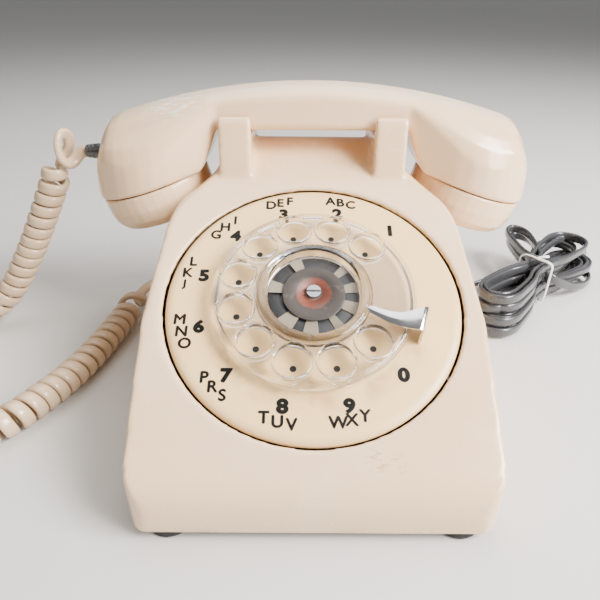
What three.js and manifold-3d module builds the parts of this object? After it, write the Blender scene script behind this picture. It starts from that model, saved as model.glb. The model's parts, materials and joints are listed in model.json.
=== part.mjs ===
// Rotary desk telephone: ivory plastic housing, dial with a clear finger wheel, handset on its cradle,
// curly handset cord and grey line cord. Millimetres, +Z up, X across, Y from the front to the back.
// The origin lies on the table, under the middle of the telephone's own box (the cords left out).
import * as THREE from 'three';
import { mergeVertices } from 'three/addons/utils/BufferGeometryUtils.js';
import Module from 'manifold-3d';

const wasm = await Module();
wasm.setup();

// ---------------------------------------------------------------- driving dimensions
const CLEAR = 0.3; // gap between pieces that touch
const DEPTH = 216; // housing, front to back
const WIDTH = 151; // housing at its widest
const FRONT_WIDTH = WIDTH - 8; // across its front wall
const REAR_WIDTH = WIDTH - 15; // across its rear wall
const WALL = 2.6; // housing shell
const SKIRT_Z = 3.5; // lower edge of the shell
const CREST_Z = 112; // top of the housing between the ears
const SHOULDER_Z = 88; // where the face starts to narrow towards the ears
const NECK_WIDTH = 97; // housing across the outsides of the ears
const FACE_TILT = 27.3; // degrees, housing face to the table
const EAR_WIDTH = 16.5;
const EAR_TOP = 128.5;
const SEAT_Z = 119.5; // cradle surface under the grip

const DIAL_Y = -32.5;
const DIAL_Z = 64.9;
const PLATE_RADIUS = 65.7;
const PLATE_GAP = 0.9; // shadow gap round the number plate
const PLATE_THICK = 1.6;
const WHEEL_RADIUS = 44.7;
const WHEEL_TOP = 7.5;
const WHEEL_THICK = 2.9;
const HUB_RADIUS = 25;
const HUB_TOP = 8.3;
const FINGER_HOLE_RADIUS = 7.4;
const FINGER_HOLE_CIRCLE = 34.6;
const FIRST_HOLE_ANGLE = 45; // degrees from +X of the hole over the digit 1
const HOLE_STEP = 30;
const HOLE_COUNT = 10;
const CASE_RADIUS = 46;
const CASE_DEPTH = 31;
const STOP_BLADE_Z = 9;
const STOP_THICK = 1.1;
const STOP_ANGLE = -18; // degrees from +X

const HANDSET_LENGTH = 234;
const CUP_RADIUS = 30.6;
const CAP_HEIGHT = 20;
const CROWN_DROP = 21.5; // the arched crown falls by this much from the middle to an end
const END_DROP = 37; // and by this much more where it rounds into the end wall
const CUP_TILT = 17; // degrees, the caps turn in towards each other
const GRIP_DEPTH = 30;
const GRIP_HEIGHT = 23.4;
const CRADLE_GAP = 0.6; // grip to each ear
const SEAM_DROP = 52.6; // grip top to the middle of the cap seam
const RIDGE_HALF = 14; // half width of the low roof along the handset

const FOOT_RADIUS = 9.6;
const FOOT_NECK_RADIUS = 6.8;
const FOOT_FLARE_Z = 3.1; // top of the wide part that shows under the skirt
const BASE_Z = 5.2;
const BASE_THICK = 1.6;
const PLUNGER_RADIUS = 4.2;
const PLUNGER_TRAVEL = 7;
const GONG_RADIUS = 26;
const GONG_X = 33;
const GONG_Y = 27;
const VOLUME_OFFSET = 0.8; // eccentricity of the gong on the volume wheel

const GEAR_MODULE = 1;
const FINE_MODULE = 0.6;
const MAIN_TEETH = 48;
const PINION_TEETH = 12;
const SECOND_TEETH = 36;
const GOVERNOR_TEETH = 12;
const BACKLASH = 0.4; // added to each centre distance

const COIL_DIAMETER = 15.5; // curly cord, over its turns
const HANDSET_CORD_DIAMETER = 5.4;
const LINE_CORD_DIAMETER = 4.6;

// ---------------------------------------------------------------- places worked out from the sizes
const FRONT_Y = -DEPTH / 2;
const REAR_Y = DEPTH / 2;
const TILT = THREE.MathUtils.degToRad(FACE_TILT);
const FACE_SINK = 0.4; // housing face below the top of the number plate
const HANDSET_Y = REAR_Y - 50.5;
const HANDSET_BOTTOM = SEAT_Z + 0.7;
const HANDSET_TOP = HANDSET_BOTTOM + GRIP_HEIGHT;
const CUP_ANGLE = THREE.MathUtils.degToRad(CUP_TILT);
const HANDSET_END = HANDSET_LENGTH / 2;
const CUP_X = HANDSET_END - CUP_RADIUS + 1.6;
const CUP_Z = HANDSET_TOP - SEAM_DROP;
const EAR_X = NECK_WIDTH / 2 - 0.5;
const EAR_MID_X = EAR_X - EAR_WIDTH / 2;
const GRIP_FRONT = HANDSET_Y - GRIP_DEPTH / 2;
const GRIP_BACK = HANDSET_Y + GRIP_DEPTH / 2;
const PLATE_BOTTOM = BASE_Z + BASE_THICK;
const faceZ = (y) => DIAL_Z + (y - DIAL_Y) * Math.tan(TILT) - FACE_SINK / Math.cos(TILT);
const SCOOP_RADIUS = CUP_RADIUS + 7.4;
const NECK_X = CUP_X - SCOOP_RADIUS; // side wall of the neck beside the cups

// ---------------------------------------------------------------- materials
const material = (color, roughness, metalness = 0) =>
  new THREE.MeshStandardMaterial({ color, roughness, metalness });
const ivory = () => material(0xe3d6bf, 0.3);
const cream = () => material(0xe6d9b8, 0.38);
const clear = () => material(0xd8dce0, 0.08);
const chrome = () => material(0xd6d6d8, 0.12, 1);
const steel = () => material(0x9a9da0, 0.42, 1);
const brass = () => material(0xb79a54, 0.35, 1);
const blackPlastic = () => material(0x1c1c1e, 0.5);
const rubber = () => material(0x181818, 0.85);
const greyVinyl = () => material(0x6a6b6d, 0.5);
const whitePlastic = () => material(0xe9e8e2, 0.4);

// ---------------------------------------------------------------- solids
function toManifold(geometry) {
  const bare = geometry.clone();
  bare.deleteAttribute('normal');
  bare.deleteAttribute('uv');
  const merged = mergeVertices(bare, 1e-4);
  const vertProperties = Float32Array.from(merged.attributes.position.array);
  const triVerts = Uint32Array.from(merged.index.array);
  return new wasm.Manifold(new wasm.Mesh({ numProp: 3, vertProperties, triVerts }));
}

function toGeometry(manifold) {
  const mesh = manifold.getMesh();
  const geometry = new THREE.BufferGeometry();
  geometry.setAttribute('position', new THREE.BufferAttribute(mesh.vertProperties, 3));
  geometry.setIndex(new THREE.BufferAttribute(mesh.triVerts, 1));
  geometry.computeVertexNormals();
  return geometry;
}

function join(...geometries) {
  const solids = geometries.map(toManifold);
  return toGeometry(solids.reduce((whole, next) => whole.add(next)));
}

function cut(base, ...tools) {
  return toGeometry(tools.map(toManifold).reduce((whole, tool) => whole.subtract(tool), toManifold(base)));
}

function common(...geometries) {
  return toGeometry(geometries.map(toManifold).reduce((whole, next) => whole.intersect(next)));
}

function addPiece(parent, name, geometry, look) {
  const mesh = new THREE.Mesh(geometry, look);
  mesh.name = name;
  parent.add(mesh);
  return mesh;
}

// Closed outline through [x, y, radius] corners, each corner rounded by its radius.
function roundedShape(corners, segments = 4) {
  const shape = new THREE.Shape();
  const count = corners.length;
  corners.forEach(([x, y, radius = 0], index) => {
    const here = new THREE.Vector2(x, y);
    const before = new THREE.Vector2(...corners[(index + count - 1) % count].slice(0, 2)).sub(here);
    const after = new THREE.Vector2(...corners[(index + 1) % count].slice(0, 2)).sub(here);
    const start = here.clone().add(before.setLength(Math.min(radius, before.length() * 0.49)));
    const end = here.clone().add(after.setLength(Math.min(radius, after.length() * 0.49)));
    if (index === 0) shape.moveTo(start.x, start.y);
    else shape.lineTo(start.x, start.y);
    for (let step = 1; step <= segments && radius > 0; step += 1) {
      const t = step / segments;
      const point = start.clone().multiplyScalar((1 - t) ** 2);
      point.addScaledVector(here, 2 * t * (1 - t));
      point.addScaledVector(end, t ** 2);
      shape.lineTo(point.x, point.y);
    }
  });
  shape.closePath();
  return shape;
}

// Both sides of an outline given by its +X half, listed from one end to the other.
const mirrored = (half) => [...half, ...half.map(([x, y, radius]) => [-x, y, radius]).reverse()];

const extrude = (shape, depth) =>
  new THREE.ExtrudeGeometry(shape, { depth, bevelEnabled: false, curveSegments: 24 });

// An (y, z) outline carried along X, an (x, z) outline along Y, and an (x, y) outline along Z.
function alongX(shape, x0, x1) {
  const axes = new THREE.Matrix4().makeBasis(
    new THREE.Vector3(0, 1, 0), new THREE.Vector3(0, 0, 1), new THREE.Vector3(1, 0, 0));
  return extrude(shape, x1 - x0).applyMatrix4(axes).translate(x0, 0, 0);
}
const alongY = (shape, y0, y1) => extrude(shape, y1 - y0).rotateX(Math.PI / 2).translate(0, y1, 0);
const alongZ = (shape, z0, z1) => extrude(shape, z1 - z0).translate(0, 0, z0);

function box(x0, x1, y0, y1, z0, z1) {
  const geometry = new THREE.BoxGeometry(x1 - x0, y1 - y0, z1 - z0);
  return geometry.translate((x0 + x1) / 2, (y0 + y1) / 2, (z0 + z1) / 2);
}

function discZ(radius, z0, z1, x = 0, y = 0, segments = 32) {
  const geometry = new THREE.CylinderGeometry(radius, radius, z1 - z0, segments);
  return geometry.rotateX(Math.PI / 2).translate(x, y, (z0 + z1) / 2);
}

function discX(radius, x0, x1, y, z, segments = 24) {
  const geometry = new THREE.CylinderGeometry(radius, radius, x1 - x0, segments);
  return geometry.rotateZ(Math.PI / 2).translate((x0 + x1) / 2, y, z);
}

function discY(radius, y0, y1, x, z, segments = 24) {
  return new THREE.CylinderGeometry(radius, radius, y1 - y0, segments).translate(x, (y0 + y1) / 2, z);
}

// A closed (radius, z) profile turned round the Z axis.
function turned(profile, segments = 48) {
  const points = profile.map(([radius, z]) => new THREE.Vector2(radius, z));
  if (profile[0][0] > 0) points.push(points[0].clone());
  return new THREE.LatheGeometry(points, segments).rotateX(Math.PI / 2);
}

const ring = (inner, outer, z0, z1, segments = 48) =>
  turned([[inner, z0], [outer, z0], [outer, z1], [inner, z1]], segments);

// ---------------------------------------------------------------- housing
// Side view of the housing, each face moved in by the inset.
function sideShape(inset, bottom) {
  const face = (y) => faceZ(y) - inset / Math.cos(TILT);
  const creaseY = FRONT_Y + 6;
  const crestFront = DIAL_Y + (CREST_Z - DIAL_Z) / Math.tan(TILT);
  return roundedShape([
    [FRONT_Y + 1.6 + inset, bottom],
    [FRONT_Y + inset, 17, 8],
    [creaseY - 3 + inset * 0.6, face(creaseY - 3), 11],
    [crestFront, CREST_Z - inset, 10],
    [GRIP_BACK - 1, CREST_Z - inset, 6],
    [REAR_Y - 24 - inset, 101 - inset, 12],
    [REAR_Y - 9 - inset, 64, 20],
    [REAR_Y - inset, 26, 14],
    [REAR_Y - 1 - inset, bottom],
  ]);
}

const planShape = (inset) => roundedShape(mirrored([
  [FRONT_WIDTH / 2 - inset, FRONT_Y + inset, 12],
  [WIDTH / 2 - inset, FRONT_Y + 62, 30],
  [WIDTH / 2 - inset, REAR_Y - 70, 30],
  [REAR_WIDTH / 2 - inset, REAR_Y - inset, 18],
]));

const frontShape = (inset, bottom) => roundedShape(mirrored([
  [WIDTH / 2 + 1 - inset, bottom],
  [WIDTH / 2 + 1 - inset, SHOULDER_Z - 36, 10],
  [WIDTH / 2 - 5 - inset, SHOULDER_Z - inset * 0.5, 7],
  [NECK_WIDTH / 2 - inset, SHOULDER_Z + 13 - inset * 0.5, 5],
  [NECK_WIDTH / 2 - inset, CREST_Z + 30],
]));

// Room for one cup of the handset beside the neck, grown by the wall for the cavity.
function cupScoop(side, grow) {
  const plan = new THREE.Shape();
  const reach = SCOOP_RADIUS + grow;
  plan.moveTo(side * (NECK_X - grow), REAR_Y + 30);
  plan.lineTo(side * (NECK_X - grow), HANDSET_Y);
  const start = side > 0 ? Math.PI : 0;
  plan.absarc(side * CUP_X, HANDSET_Y, reach, start, side > 0 ? 2 * Math.PI : Math.PI, side < 0);
  plan.lineTo(side * (CUP_X + reach), REAR_Y + 30);
  plan.closePath();
  const section = roundedShape([
    [side * (NECK_X - grow - 2), CREST_Z + 40],
    [side * (NECK_X - grow), 66 - grow, 9],
    [side * (CUP_X + 60), 52 - grow],
    [side * (CUP_X + 60), CREST_Z + 40],
  ]);
  return common(alongZ(plan, 0, CREST_Z + 40), alongY(section, FRONT_Y, REAR_Y + 30));
}

function housingBody(inset, bottom) {
  return common(
    alongX(sideShape(inset, bottom), -WIDTH, WIDTH),
    alongZ(planShape(inset), bottom, CREST_Z + 40),
    alongY(frontShape(inset, bottom), FRONT_Y, REAR_Y),
  );
}

// One cradle ear: the front horn, the seat under the grip and the lower rear horn.
function ear(side) {
  const front = GRIP_FRONT - CRADLE_GAP;
  const back = GRIP_BACK + CRADLE_GAP;
  const profile = roundedShape([
    [front - 10, CREST_Z - 20],
    [front - 9, faceZ(front - 9)],
    [front - 4.6, EAR_TOP - 1, 2.5],
    [front, EAR_TOP, 2.2],
    [front, SEAT_Z, 1.5],
    [back, SEAT_Z, 1.5],
    [back, EAR_TOP - 3, 2],
    [back + 6, EAR_TOP - 4, 3],
    [back + 12, CREST_Z - 12],
    [back + 12, CREST_Z - 20],
  ]);
  const inner = EAR_X - EAR_WIDTH;
  return alongX(profile, side > 0 ? inner : -EAR_X, side > 0 ? EAR_X : -inner);
}

// The hand grip at the back, under the crest, for carrying the telephone.
function carryPocket(grow) {
  const pocket = roundedShape([
    [GRIP_FRONT + 20 - grow, 78 - grow, 8],
    [GRIP_FRONT + 20 - grow, 101 + grow, 8],
    [REAR_Y + 20, 104 + grow],
    [REAR_Y + 20, 74 - grow],
  ]);
  return alongX(pocket, -29 - grow, 29 + grow);
}

function housingShell() {
  const outer = join(cut(housingBody(0, SKIRT_Z), cupScoop(1, 0), cupScoop(-1, 0)), ear(1), ear(-1));
  const pocketed = cut(outer, carryPocket(0));
  const scoops = [cupScoop(1, WALL), cupScoop(-1, WALL)];
  const cavity = cut(housingBody(WALL, SKIRT_Z - 5), ...scoops, carryPocket(WALL));
  const dialHole = discZ(PLATE_RADIUS + PLATE_GAP, -12, 12, 0, 0, 56);
  dialHole.rotateX(TILT).translate(0, DIAL_Y, DIAL_Z);
  const plungerBores = [-1, 1].map((side) =>
    discZ(PLUNGER_RADIUS + 0.4, CREST_Z - 20, EAR_TOP, side * EAR_MID_X, HANDSET_Y));
  const cordHole = discX(GROMMET_RADIUS + CLEAR, -WIDTH, -40, HANDSET_CORD_Y, CORD_ENTRY_Z);
  const lineHole = discY(GROMMET_RADIUS + CLEAR, REAR_Y - 20, REAR_Y + 20, LINE_CORD_X, CORD_ENTRY_Z);
  return cut(pocketed, cavity, dialHole, ...plungerBores, cordHole, lineHole);
}

// ---------------------------------------------------------------- base
const GROMMET_RADIUS = 4.6;
const CORD_ENTRY_Z = 13;
const HANDSET_CORD_Y = REAR_Y - 24;
const LINE_CORD_X = 38;
const sideWallX = (y) =>
  WIDTH / 2 - ((WIDTH - REAR_WIDTH) / 2) * Math.max(0, (y - (REAR_Y - 70)) / 70);

function basePlate() {
  const plate = common(
    alongZ(planShape(WALL + 0.6), BASE_Z, PLATE_BOTTOM),
    box(-WIDTH, WIDTH, FRONT_Y + WALL + 2.2, REAR_Y - WALL - 1.6, 0, 20),
  );
  return cut(plate, discZ(VOLUME_SHAFT + 0.5, 0, 20, GONG_X, GONG_Y));
}

const VOLUME_SHAFT = 3;
const VOLUME_WHEEL_RADIUS = 13;

const footPlaces = [
  ['foot_front_left', -57, FRONT_Y + 11.8],
  ['foot_front_right', 57, FRONT_Y + 11.8],
  ['foot_rear_left', -54, REAR_Y - 18],
  ['foot_rear_right', 54, REAR_Y - 18],
];
const foot = (x, y) => join(
  turned([
    [0, 0], [FOOT_RADIUS - 0.8, 0], [FOOT_RADIUS, 0.8], [FOOT_RADIUS - 0.4, FOOT_FLARE_Z], [0, FOOT_FLARE_Z],
  ], 24),
  discZ(FOOT_NECK_RADIUS, FOOT_FLARE_Z - 1, BASE_Z - CLEAR, 0, 0, 24),
).translate(x, y, 0);

// Screw up into the housing at one side of the base.
const housingScrew = (x, y) =>
  cut(
    discZ(3.2, BASE_Z - 2.2, BASE_Z - CLEAR, x, y, 20),
    box(x - 4, x + 4, y - 0.4, y + 0.4, 0, BASE_Z - 1.5),
  );

function buildBase(parent) {
  addPiece(parent, 'housing_shell', housingShell(), ivory());
  addPiece(parent, 'base_plate', basePlate(), steel());
  footPlaces.forEach(([name, x, y]) => addPiece(parent, name, foot(x, y), rubber()));
  addPiece(parent, 'housing_screw_front', housingScrew(0, FRONT_Y + 20), steel());
  addPiece(parent, 'housing_screw_rear', housingScrew(0, REAR_Y - 16), steel());
}

// ---------------------------------------------------------------- dial (its own frame: Z is the dial's axis)
function numberPlate() {
  return turned([
    [6, -PLATE_THICK],
    [PLATE_RADIUS - 3, -PLATE_THICK],
    [PLATE_RADIUS - 2.2, -3.6],
    [PLATE_RADIUS, -3.6],
    [PLATE_RADIUS, -1.8],
    [PLATE_RADIUS - 1, -0.5],
    [PLATE_RADIUS - 3, 0],
    [6, 0],
  ], 56);
}

function dialCase() {
  const flangeTop = -PLATE_THICK - 1.3;
  const wall = 1.6;
  return turned([
    [4, -CASE_DEPTH],
    [CASE_RADIUS, -CASE_DEPTH],
    [CASE_RADIUS, flangeTop - wall],
    [PLATE_RADIUS - 4, flangeTop - wall],
    [PLATE_RADIUS - 4, flangeTop],
    [CASE_RADIUS - wall, flangeTop],
    [CASE_RADIUS - wall, -CASE_DEPTH + wall],
    [4, -CASE_DEPTH + wall],
  ], 36);
}

function fingerWheel() {
  const under = WHEEL_TOP - WHEEL_THICK;
  const wheel = turned([
    [4.2, 1.4],
    [HUB_RADIUS, 1.4],
    [HUB_RADIUS, under],
    [WHEEL_RADIUS - 3, under],
    [WHEEL_RADIUS - 1.6, under - 1.6],
    [WHEEL_RADIUS, under - 1.6],
    [WHEEL_RADIUS, WHEEL_TOP - 1.4],
    [WHEEL_RADIUS - 1.4, WHEEL_TOP],
    [HUB_RADIUS, WHEEL_TOP],
    [HUB_RADIUS - 1, HUB_TOP],
    [HUB_RADIUS - 3.4, HUB_TOP],
    [HUB_RADIUS - 4.4, 3],
    [4.2, 3],
  ], 48);
  const holes = [];
  for (let index = 0; index < HOLE_COUNT; index += 1) {
    const angle = THREE.MathUtils.degToRad(FIRST_HOLE_ANGLE + HOLE_STEP * index);
    const x = FINGER_HOLE_CIRCLE * Math.cos(angle);
    const y = FINGER_HOLE_CIRCLE * Math.sin(angle);
    holes.push(discZ(FINGER_HOLE_RADIUS, -5, 20, x, y, 20));
  }
  return cut(wheel, ...holes);
}

// Light disc with bent tabs round its rim, under the number card.
function cardRetainer() {
  const disc = ring(4, HUB_RADIUS - 4.9, 3 + CLEAR, 4.1);
  const slots = [];
  for (let index = 0; index < 8; index += 1) {
    const slot = box(12.6, 22, -2.2, 2.2, 0, 10);
    slots.push(slot.rotateZ((index * Math.PI) / 4));
  }
  return cut(disc, ...slots);
}

// The stop: a blade over the wheel, widest at its outer end, with a leg down to the plate.
function fingerStop() {
  const tip = HUB_RADIUS - 0.4;
  const outer = WHEEL_RADIUS + 4.2;
  const blade = roundedShape([
    [tip, -4, 1.4],
    [tip + 11, -6.6, 6],
    [outer - 4, -7, 2],
    [outer, -5],
    [outer, 5.8, 1],
    [outer - 4, 3.2, 3],
    [tip + 12, -1.2, 6],
    [tip, -1, 1.4],
  ], 3);
  const leg = roundedShape([
    [outer - STOP_THICK, -5],
    [outer, -5],
    [outer, 4.6],
    [outer - STOP_THICK, 4.6],
  ], 3);
  const stop = join(
    alongZ(blade, STOP_BLADE_Z, STOP_BLADE_Z + STOP_THICK),
    alongZ(leg, CLEAR, STOP_BLADE_Z + STOP_THICK / 2),
  );
  return stop.rotateZ(THREE.MathUtils.degToRad(STOP_ANGLE));
}

// ---------------------------------------------------------------- gears
// Outline of a gear with straight-sided teeth; one tooth points along the given angle.
function gearShape(teeth, module, pointing, bore) {
  const pitchRadius = (teeth * module) / 2;
  const root = pitchRadius - module * 1.15;
  const tip = pitchRadius + module * 0.8;
  const pitch = (2 * Math.PI) / teeth;
  const shape = new THREE.Shape();
  for (let index = 0; index < teeth; index += 1) {
    const middle = pointing + index * pitch;
    const stations = [[root, -0.24], [tip, -0.1], [tip, 0.1], [root, 0.24]];
    stations.forEach(([radius, share], step) => {
      const angle = middle + share * pitch;
      const x = radius * Math.cos(angle);
      const y = radius * Math.sin(angle);
      if (index === 0 && step === 0) shape.moveTo(x, y);
      else shape.lineTo(x, y);
    });
  }
  shape.closePath();
  if (bore > 0) {
    const hole = new THREE.Path();
    hole.absarc(0, 0, bore, 0, 2 * Math.PI, true);
    shape.holes.push(hole);
  }
  return shape;
}

const MAIN_TO_SECOND = (GEAR_MODULE * (MAIN_TEETH + PINION_TEETH)) / 2 + BACKLASH;
const SECOND_TO_GOVERNOR = (FINE_MODULE * (SECOND_TEETH + GOVERNOR_TEETH)) / 2 + BACKLASH * 0.7;
const SECOND_ANGLE = THREE.MathUtils.degToRad(120);
const GOVERNOR_ANGLE = THREE.MathUtils.degToRad(220);
const secondPlace = [MAIN_TO_SECOND * Math.cos(SECOND_ANGLE), MAIN_TO_SECOND * Math.sin(SECOND_ANGLE)];
const governorPlace = [
  secondPlace[0] + SECOND_TO_GOVERNOR * Math.cos(GOVERNOR_ANGLE),
  secondPlace[1] + SECOND_TO_GOVERNOR * Math.sin(GOVERNOR_ANGLE),
];
const SHAFT_RADIUS = 3;
const MAIN_GEAR_Z = [-9, -6.5];
const SECOND_GEAR_Z = [-14, -12];

function buildDialGears(parent) {
  const mainOutline = gearShape(MAIN_TEETH, GEAR_MODULE, SECOND_ANGLE, SHAFT_RADIUS + CLEAR);
  const mainGear = alongZ(mainOutline, ...MAIN_GEAR_Z);
  addPiece(parent, 'main_gear', mainGear, brass());
  addPiece(parent, 'main_shaft', discZ(SHAFT_RADIUS, -CASE_DEPTH - 1.5, 3), steel());

  const pinionGap = SECOND_ANGLE + Math.PI + Math.PI / PINION_TEETH;
  const intermediate = join(
    alongZ(gearShape(PINION_TEETH, GEAR_MODULE, pinionGap, 0), MAIN_GEAR_Z[0] - 0.4, MAIN_GEAR_Z[1] + 0.4),
    alongZ(gearShape(SECOND_TEETH, FINE_MODULE, GOVERNOR_ANGLE, 0), ...SECOND_GEAR_Z),
    discZ(1.5, -CASE_DEPTH + 2.2, -3.6, 0, 0, 16),
  );
  addPiece(parent, 'intermediate_gear', intermediate, brass()).position.set(...secondPlace, 0);

  const cam = cut(discZ(4.6, -5.8, -4, 0, 0, 24), discZ(1.8, -7, -3, 0, 0, 16), box(3.2, 6, -6, 6, -7, -3));
  addPiece(parent, 'pulse_cam', cam, blackPlastic()).position.set(...secondPlace, 0);

  const governorGap = GOVERNOR_ANGLE + Math.PI + Math.PI / GOVERNOR_TEETH;
  const governor = join(
    alongZ(
      gearShape(GOVERNOR_TEETH, FINE_MODULE, governorGap, 0), SECOND_GEAR_Z[0] - 0.4, SECOND_GEAR_Z[1] + 0.4,
    ),
    discZ(1.2, -CASE_DEPTH + 2.2, -10.4, 0, 0, 16),
    box(-6.4, 6.4, -1.4, 1.4, -24, -20),
  );
  addPiece(parent, 'governor_shaft', governor, brass()).position.set(...governorPlace, 0);

  const cup = ring(8.2, 9.4, -CASE_DEPTH + 1.6 + CLEAR, -18, 32);
  addPiece(parent, 'governor_cup', cup, steel()).position.set(...governorPlace, 0);
  addPiece(parent, 'mainspring_drum', ring(9, 17, -CASE_DEPTH + 1.6 + CLEAR, -18, 32), steel());

  const leaves = join(
    box(-1.5, -0.9, 0, 18, -5.6, -4.2),
    box(1.2, 1.8, 0, 18, -5.6, -4.2),
    box(-2.5, 3, -5, 0.5, -6, -3.8),
  );
  const springs = addPiece(parent, 'pulse_contact_springs', leaves, brass());
  springs.position.set(secondPlace[0] + 8, secondPlace[1] - 9, 0);
}

function buildDial(parent) {
  const dial = new THREE.Group();
  dial.position.set(0, DIAL_Y, DIAL_Z);
  dial.rotation.x = TILT;
  parent.add(dial);
  addPiece(dial, 'number_plate', numberPlate(), cream());
  addPiece(dial, 'dial_case', dialCase(), steel());
  addPiece(dial, 'finger_stop', fingerStop(), chrome());
  addPiece(dial, 'finger_wheel', fingerWheel(), clear());
  addPiece(dial, 'card_retainer', cardRetainer(), material(0xb9b2a3, 0.5));
  addPiece(dial, 'centre_disc', ring(2.4, 10.5, 4.4, 5.2, 40), material(0xb5522e, 0.55));
  addPiece(dial, 'finger_wheel_screw', centreScrew(), material(0x8a8782, 0.5, 1));
  buildDialGears(dial);
}

function centreScrew() {
  const screw = join(discZ(1.9, 3 + CLEAR, 5.6, 0, 0, 20), discZ(3.1, 5.2 + CLEAR, 7, 0, 0, 24));
  return cut(screw, box(-4, 4, -0.5, 0.5, 6.2, 9));
}

// Legs that carry the dial case above the base plate.
function dialBracket(side) {
  const under = (y) => faceZ(y) - 6.4;
  const profile = roundedShape([
    [DIAL_Y - 12, PLATE_BOTTOM + CLEAR],
    [DIAL_Y + 14, PLATE_BOTTOM + CLEAR],
    [DIAL_Y + 14, under(DIAL_Y + 14)],
    [DIAL_Y - 12, under(DIAL_Y - 12)],
  ]);
  const inner = CASE_RADIUS + 4;
  return alongX(profile, side > 0 ? inner : -inner - 2, side > 0 ? inner + 2 : -inner);
}

// ---------------------------------------------------------------- ringer
const gongProfile = [
  [3.4, 28.4], [11.6, 28], [19, 25.1], [GONG_RADIUS - 2.3, 19.6], [GONG_RADIUS - 1.4, 12],
  [GONG_RADIUS, 12], [GONG_RADIUS - 0.8, 20], [20, 26.5], [12, 29.6], [3.4, 30],
];
const gong = () => turned(gongProfile, 28);
const FRAME_Z = PLATE_BOTTOM + CLEAR;
const FRAME_TOP = FRAME_Z + 1.5;
const CLAPPER_PIVOT_Y = GONG_Y - 15;

function buildRinger(parent) {
  const ringerFrame = cut(
    join(
      box(-GONG_X - 9, GONG_X + 9, GONG_Y - 42, GONG_Y + 12, FRAME_Z, FRAME_TOP),
      discZ(3, FRAME_TOP - 1, 31, -GONG_X, GONG_Y, 20),
      discZ(1.4, FRAME_TOP - 1, 15, 0, CLAPPER_PIVOT_Y, 16),
    ),
    discZ(VOLUME_SHAFT + 0.5, 0, 20, GONG_X, GONG_Y),
  );
  addPiece(parent, 'ringer_frame', ringerFrame, steel());
  const coil = discX(8.5, -18, 18, GONG_Y - 33, FRAME_TOP + 8.5 + CLEAR);
  addPiece(parent, 'ringer_coil', coil, material(0x8a4a24, 0.5));
  addPiece(parent, 'gong_left', gong().translate(-GONG_X, GONG_Y, 0), brass());
  addPiece(parent, 'gong_right', gong().translate(GONG_X + VOLUME_OFFSET, GONG_Y, 0), brass());

  const clapper = join(
    cut(discZ(3.4, FRAME_TOP + CLEAR, 14, 0, CLAPPER_PIVOT_Y, 20), discZ(1.7, 0, 30, 0, CLAPPER_PIVOT_Y, 16)),
    box(-0.8, 0.8, CLAPPER_PIVOT_Y + 2.4, GONG_Y - 1, 11.2, 13.2),
    new THREE.SphereGeometry(3.4, 16, 12).translate(0, GONG_Y, 13.4),
  );
  addPiece(parent, 'clapper', clapper, steel());

  const wheelTop = BASE_Z - 0.5;
  const volumeWheel = join(
    discZ(VOLUME_WHEEL_RADIUS, wheelTop - 2.4, wheelTop, GONG_X, GONG_Y, 32),
    discZ(VOLUME_SHAFT, wheelTop - 1, 26, GONG_X, GONG_Y, 20),
    discZ(2.2, 25, 31, GONG_X + VOLUME_OFFSET, GONG_Y, 20),
  );
  addPiece(parent, 'volume_wheel', volumeWheel, blackPlastic());
}

// ---------------------------------------------------------------- hook switch
const HINGE_Y = HANDSET_Y + 28;
const HINGE_Z = 58;
const PLUNGER_FOOT = HINGE_Z + 3;
const UPRIGHT_X = 16;

function plunger(side) {
  const x = side * EAR_MID_X;
  const collarTop = CREST_Z - PLUNGER_TRAVEL - 9;
  const body = join(
    discZ(PLUNGER_RADIUS, collarTop - 2, SEAT_Z + 0.4, 0, 0, 24),
    discZ(PLUNGER_RADIUS + 1.8, collarTop - 2, collarTop, 0, 0, 24),
    discZ(2.2, PLUNGER_FOOT, collarTop - 1, 0, 0, 16),
  );
  return body.translate(x, HANDSET_Y, 0);
}

function hookLever() {
  const arm = (side) => {
    const x = side * EAR_MID_X;
    return box(x - 2.5, x + 2.5, HANDSET_Y - 3, HINGE_Y, HINGE_Z - 1.5, HINGE_Z + 2.2);
  };
  return join(discX(1.6, -EAR_MID_X - 2, EAR_MID_X + 2, HINGE_Y, HINGE_Z, 16), arm(1), arm(-1));
}

function hookBracket() {
  const upright = (side) => box(
    side * UPRIGHT_X - 1.5, side * UPRIGHT_X + 1.5, HINGE_Y - 5, HINGE_Y + 5, FRAME_Z, 63,
  );
  const bracket = join(
    box(-UPRIGHT_X - 4, UPRIGHT_X + 4, HINGE_Y - 8, HINGE_Y + 8, FRAME_Z, FRAME_TOP),
    upright(1),
    upright(-1),
  );
  return cut(bracket, discX(2, -UPRIGHT_X - 6, UPRIGHT_X + 6, HINGE_Y, HINGE_Z, 16));
}

function buildHookSwitch(parent) {
  addPiece(parent, 'plunger_left', plunger(-1), whitePlastic());
  addPiece(parent, 'plunger_right', plunger(1), whitePlastic());
  addPiece(parent, 'hook_lever', hookLever(), steel());
  addPiece(parent, 'hook_switch_bracket', hookBracket(), steel());
  const stack = box(-9, 9, HINGE_Y - 4, HINGE_Y + 4, FRAME_TOP + CLEAR, 46);
  addPiece(parent, 'hook_contact_stack', stack, blackPlastic());
}

// The network block behind the ringer, left of the hook switch.
const networkBlock = () => box(-60, -UPRIGHT_X - 6, GONG_Y + GONG_RADIUS + 4, REAR_Y - 12, FRAME_Z, 33);

// ---------------------------------------------------------------- handset
// The crown, the underside and the half depth of the shell at a distance from its middle.
function crownZ(x) {
  const arch = HANDSET_TOP - 0.6 - CROWN_DROP * (x / HANDSET_END) ** 2;
  const past = Math.max(0, (x - HANDSET_END + 14) / 14);
  return arch - END_DROP * (1 - Math.sqrt(1 - 0.985 * past ** 2));
}

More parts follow.
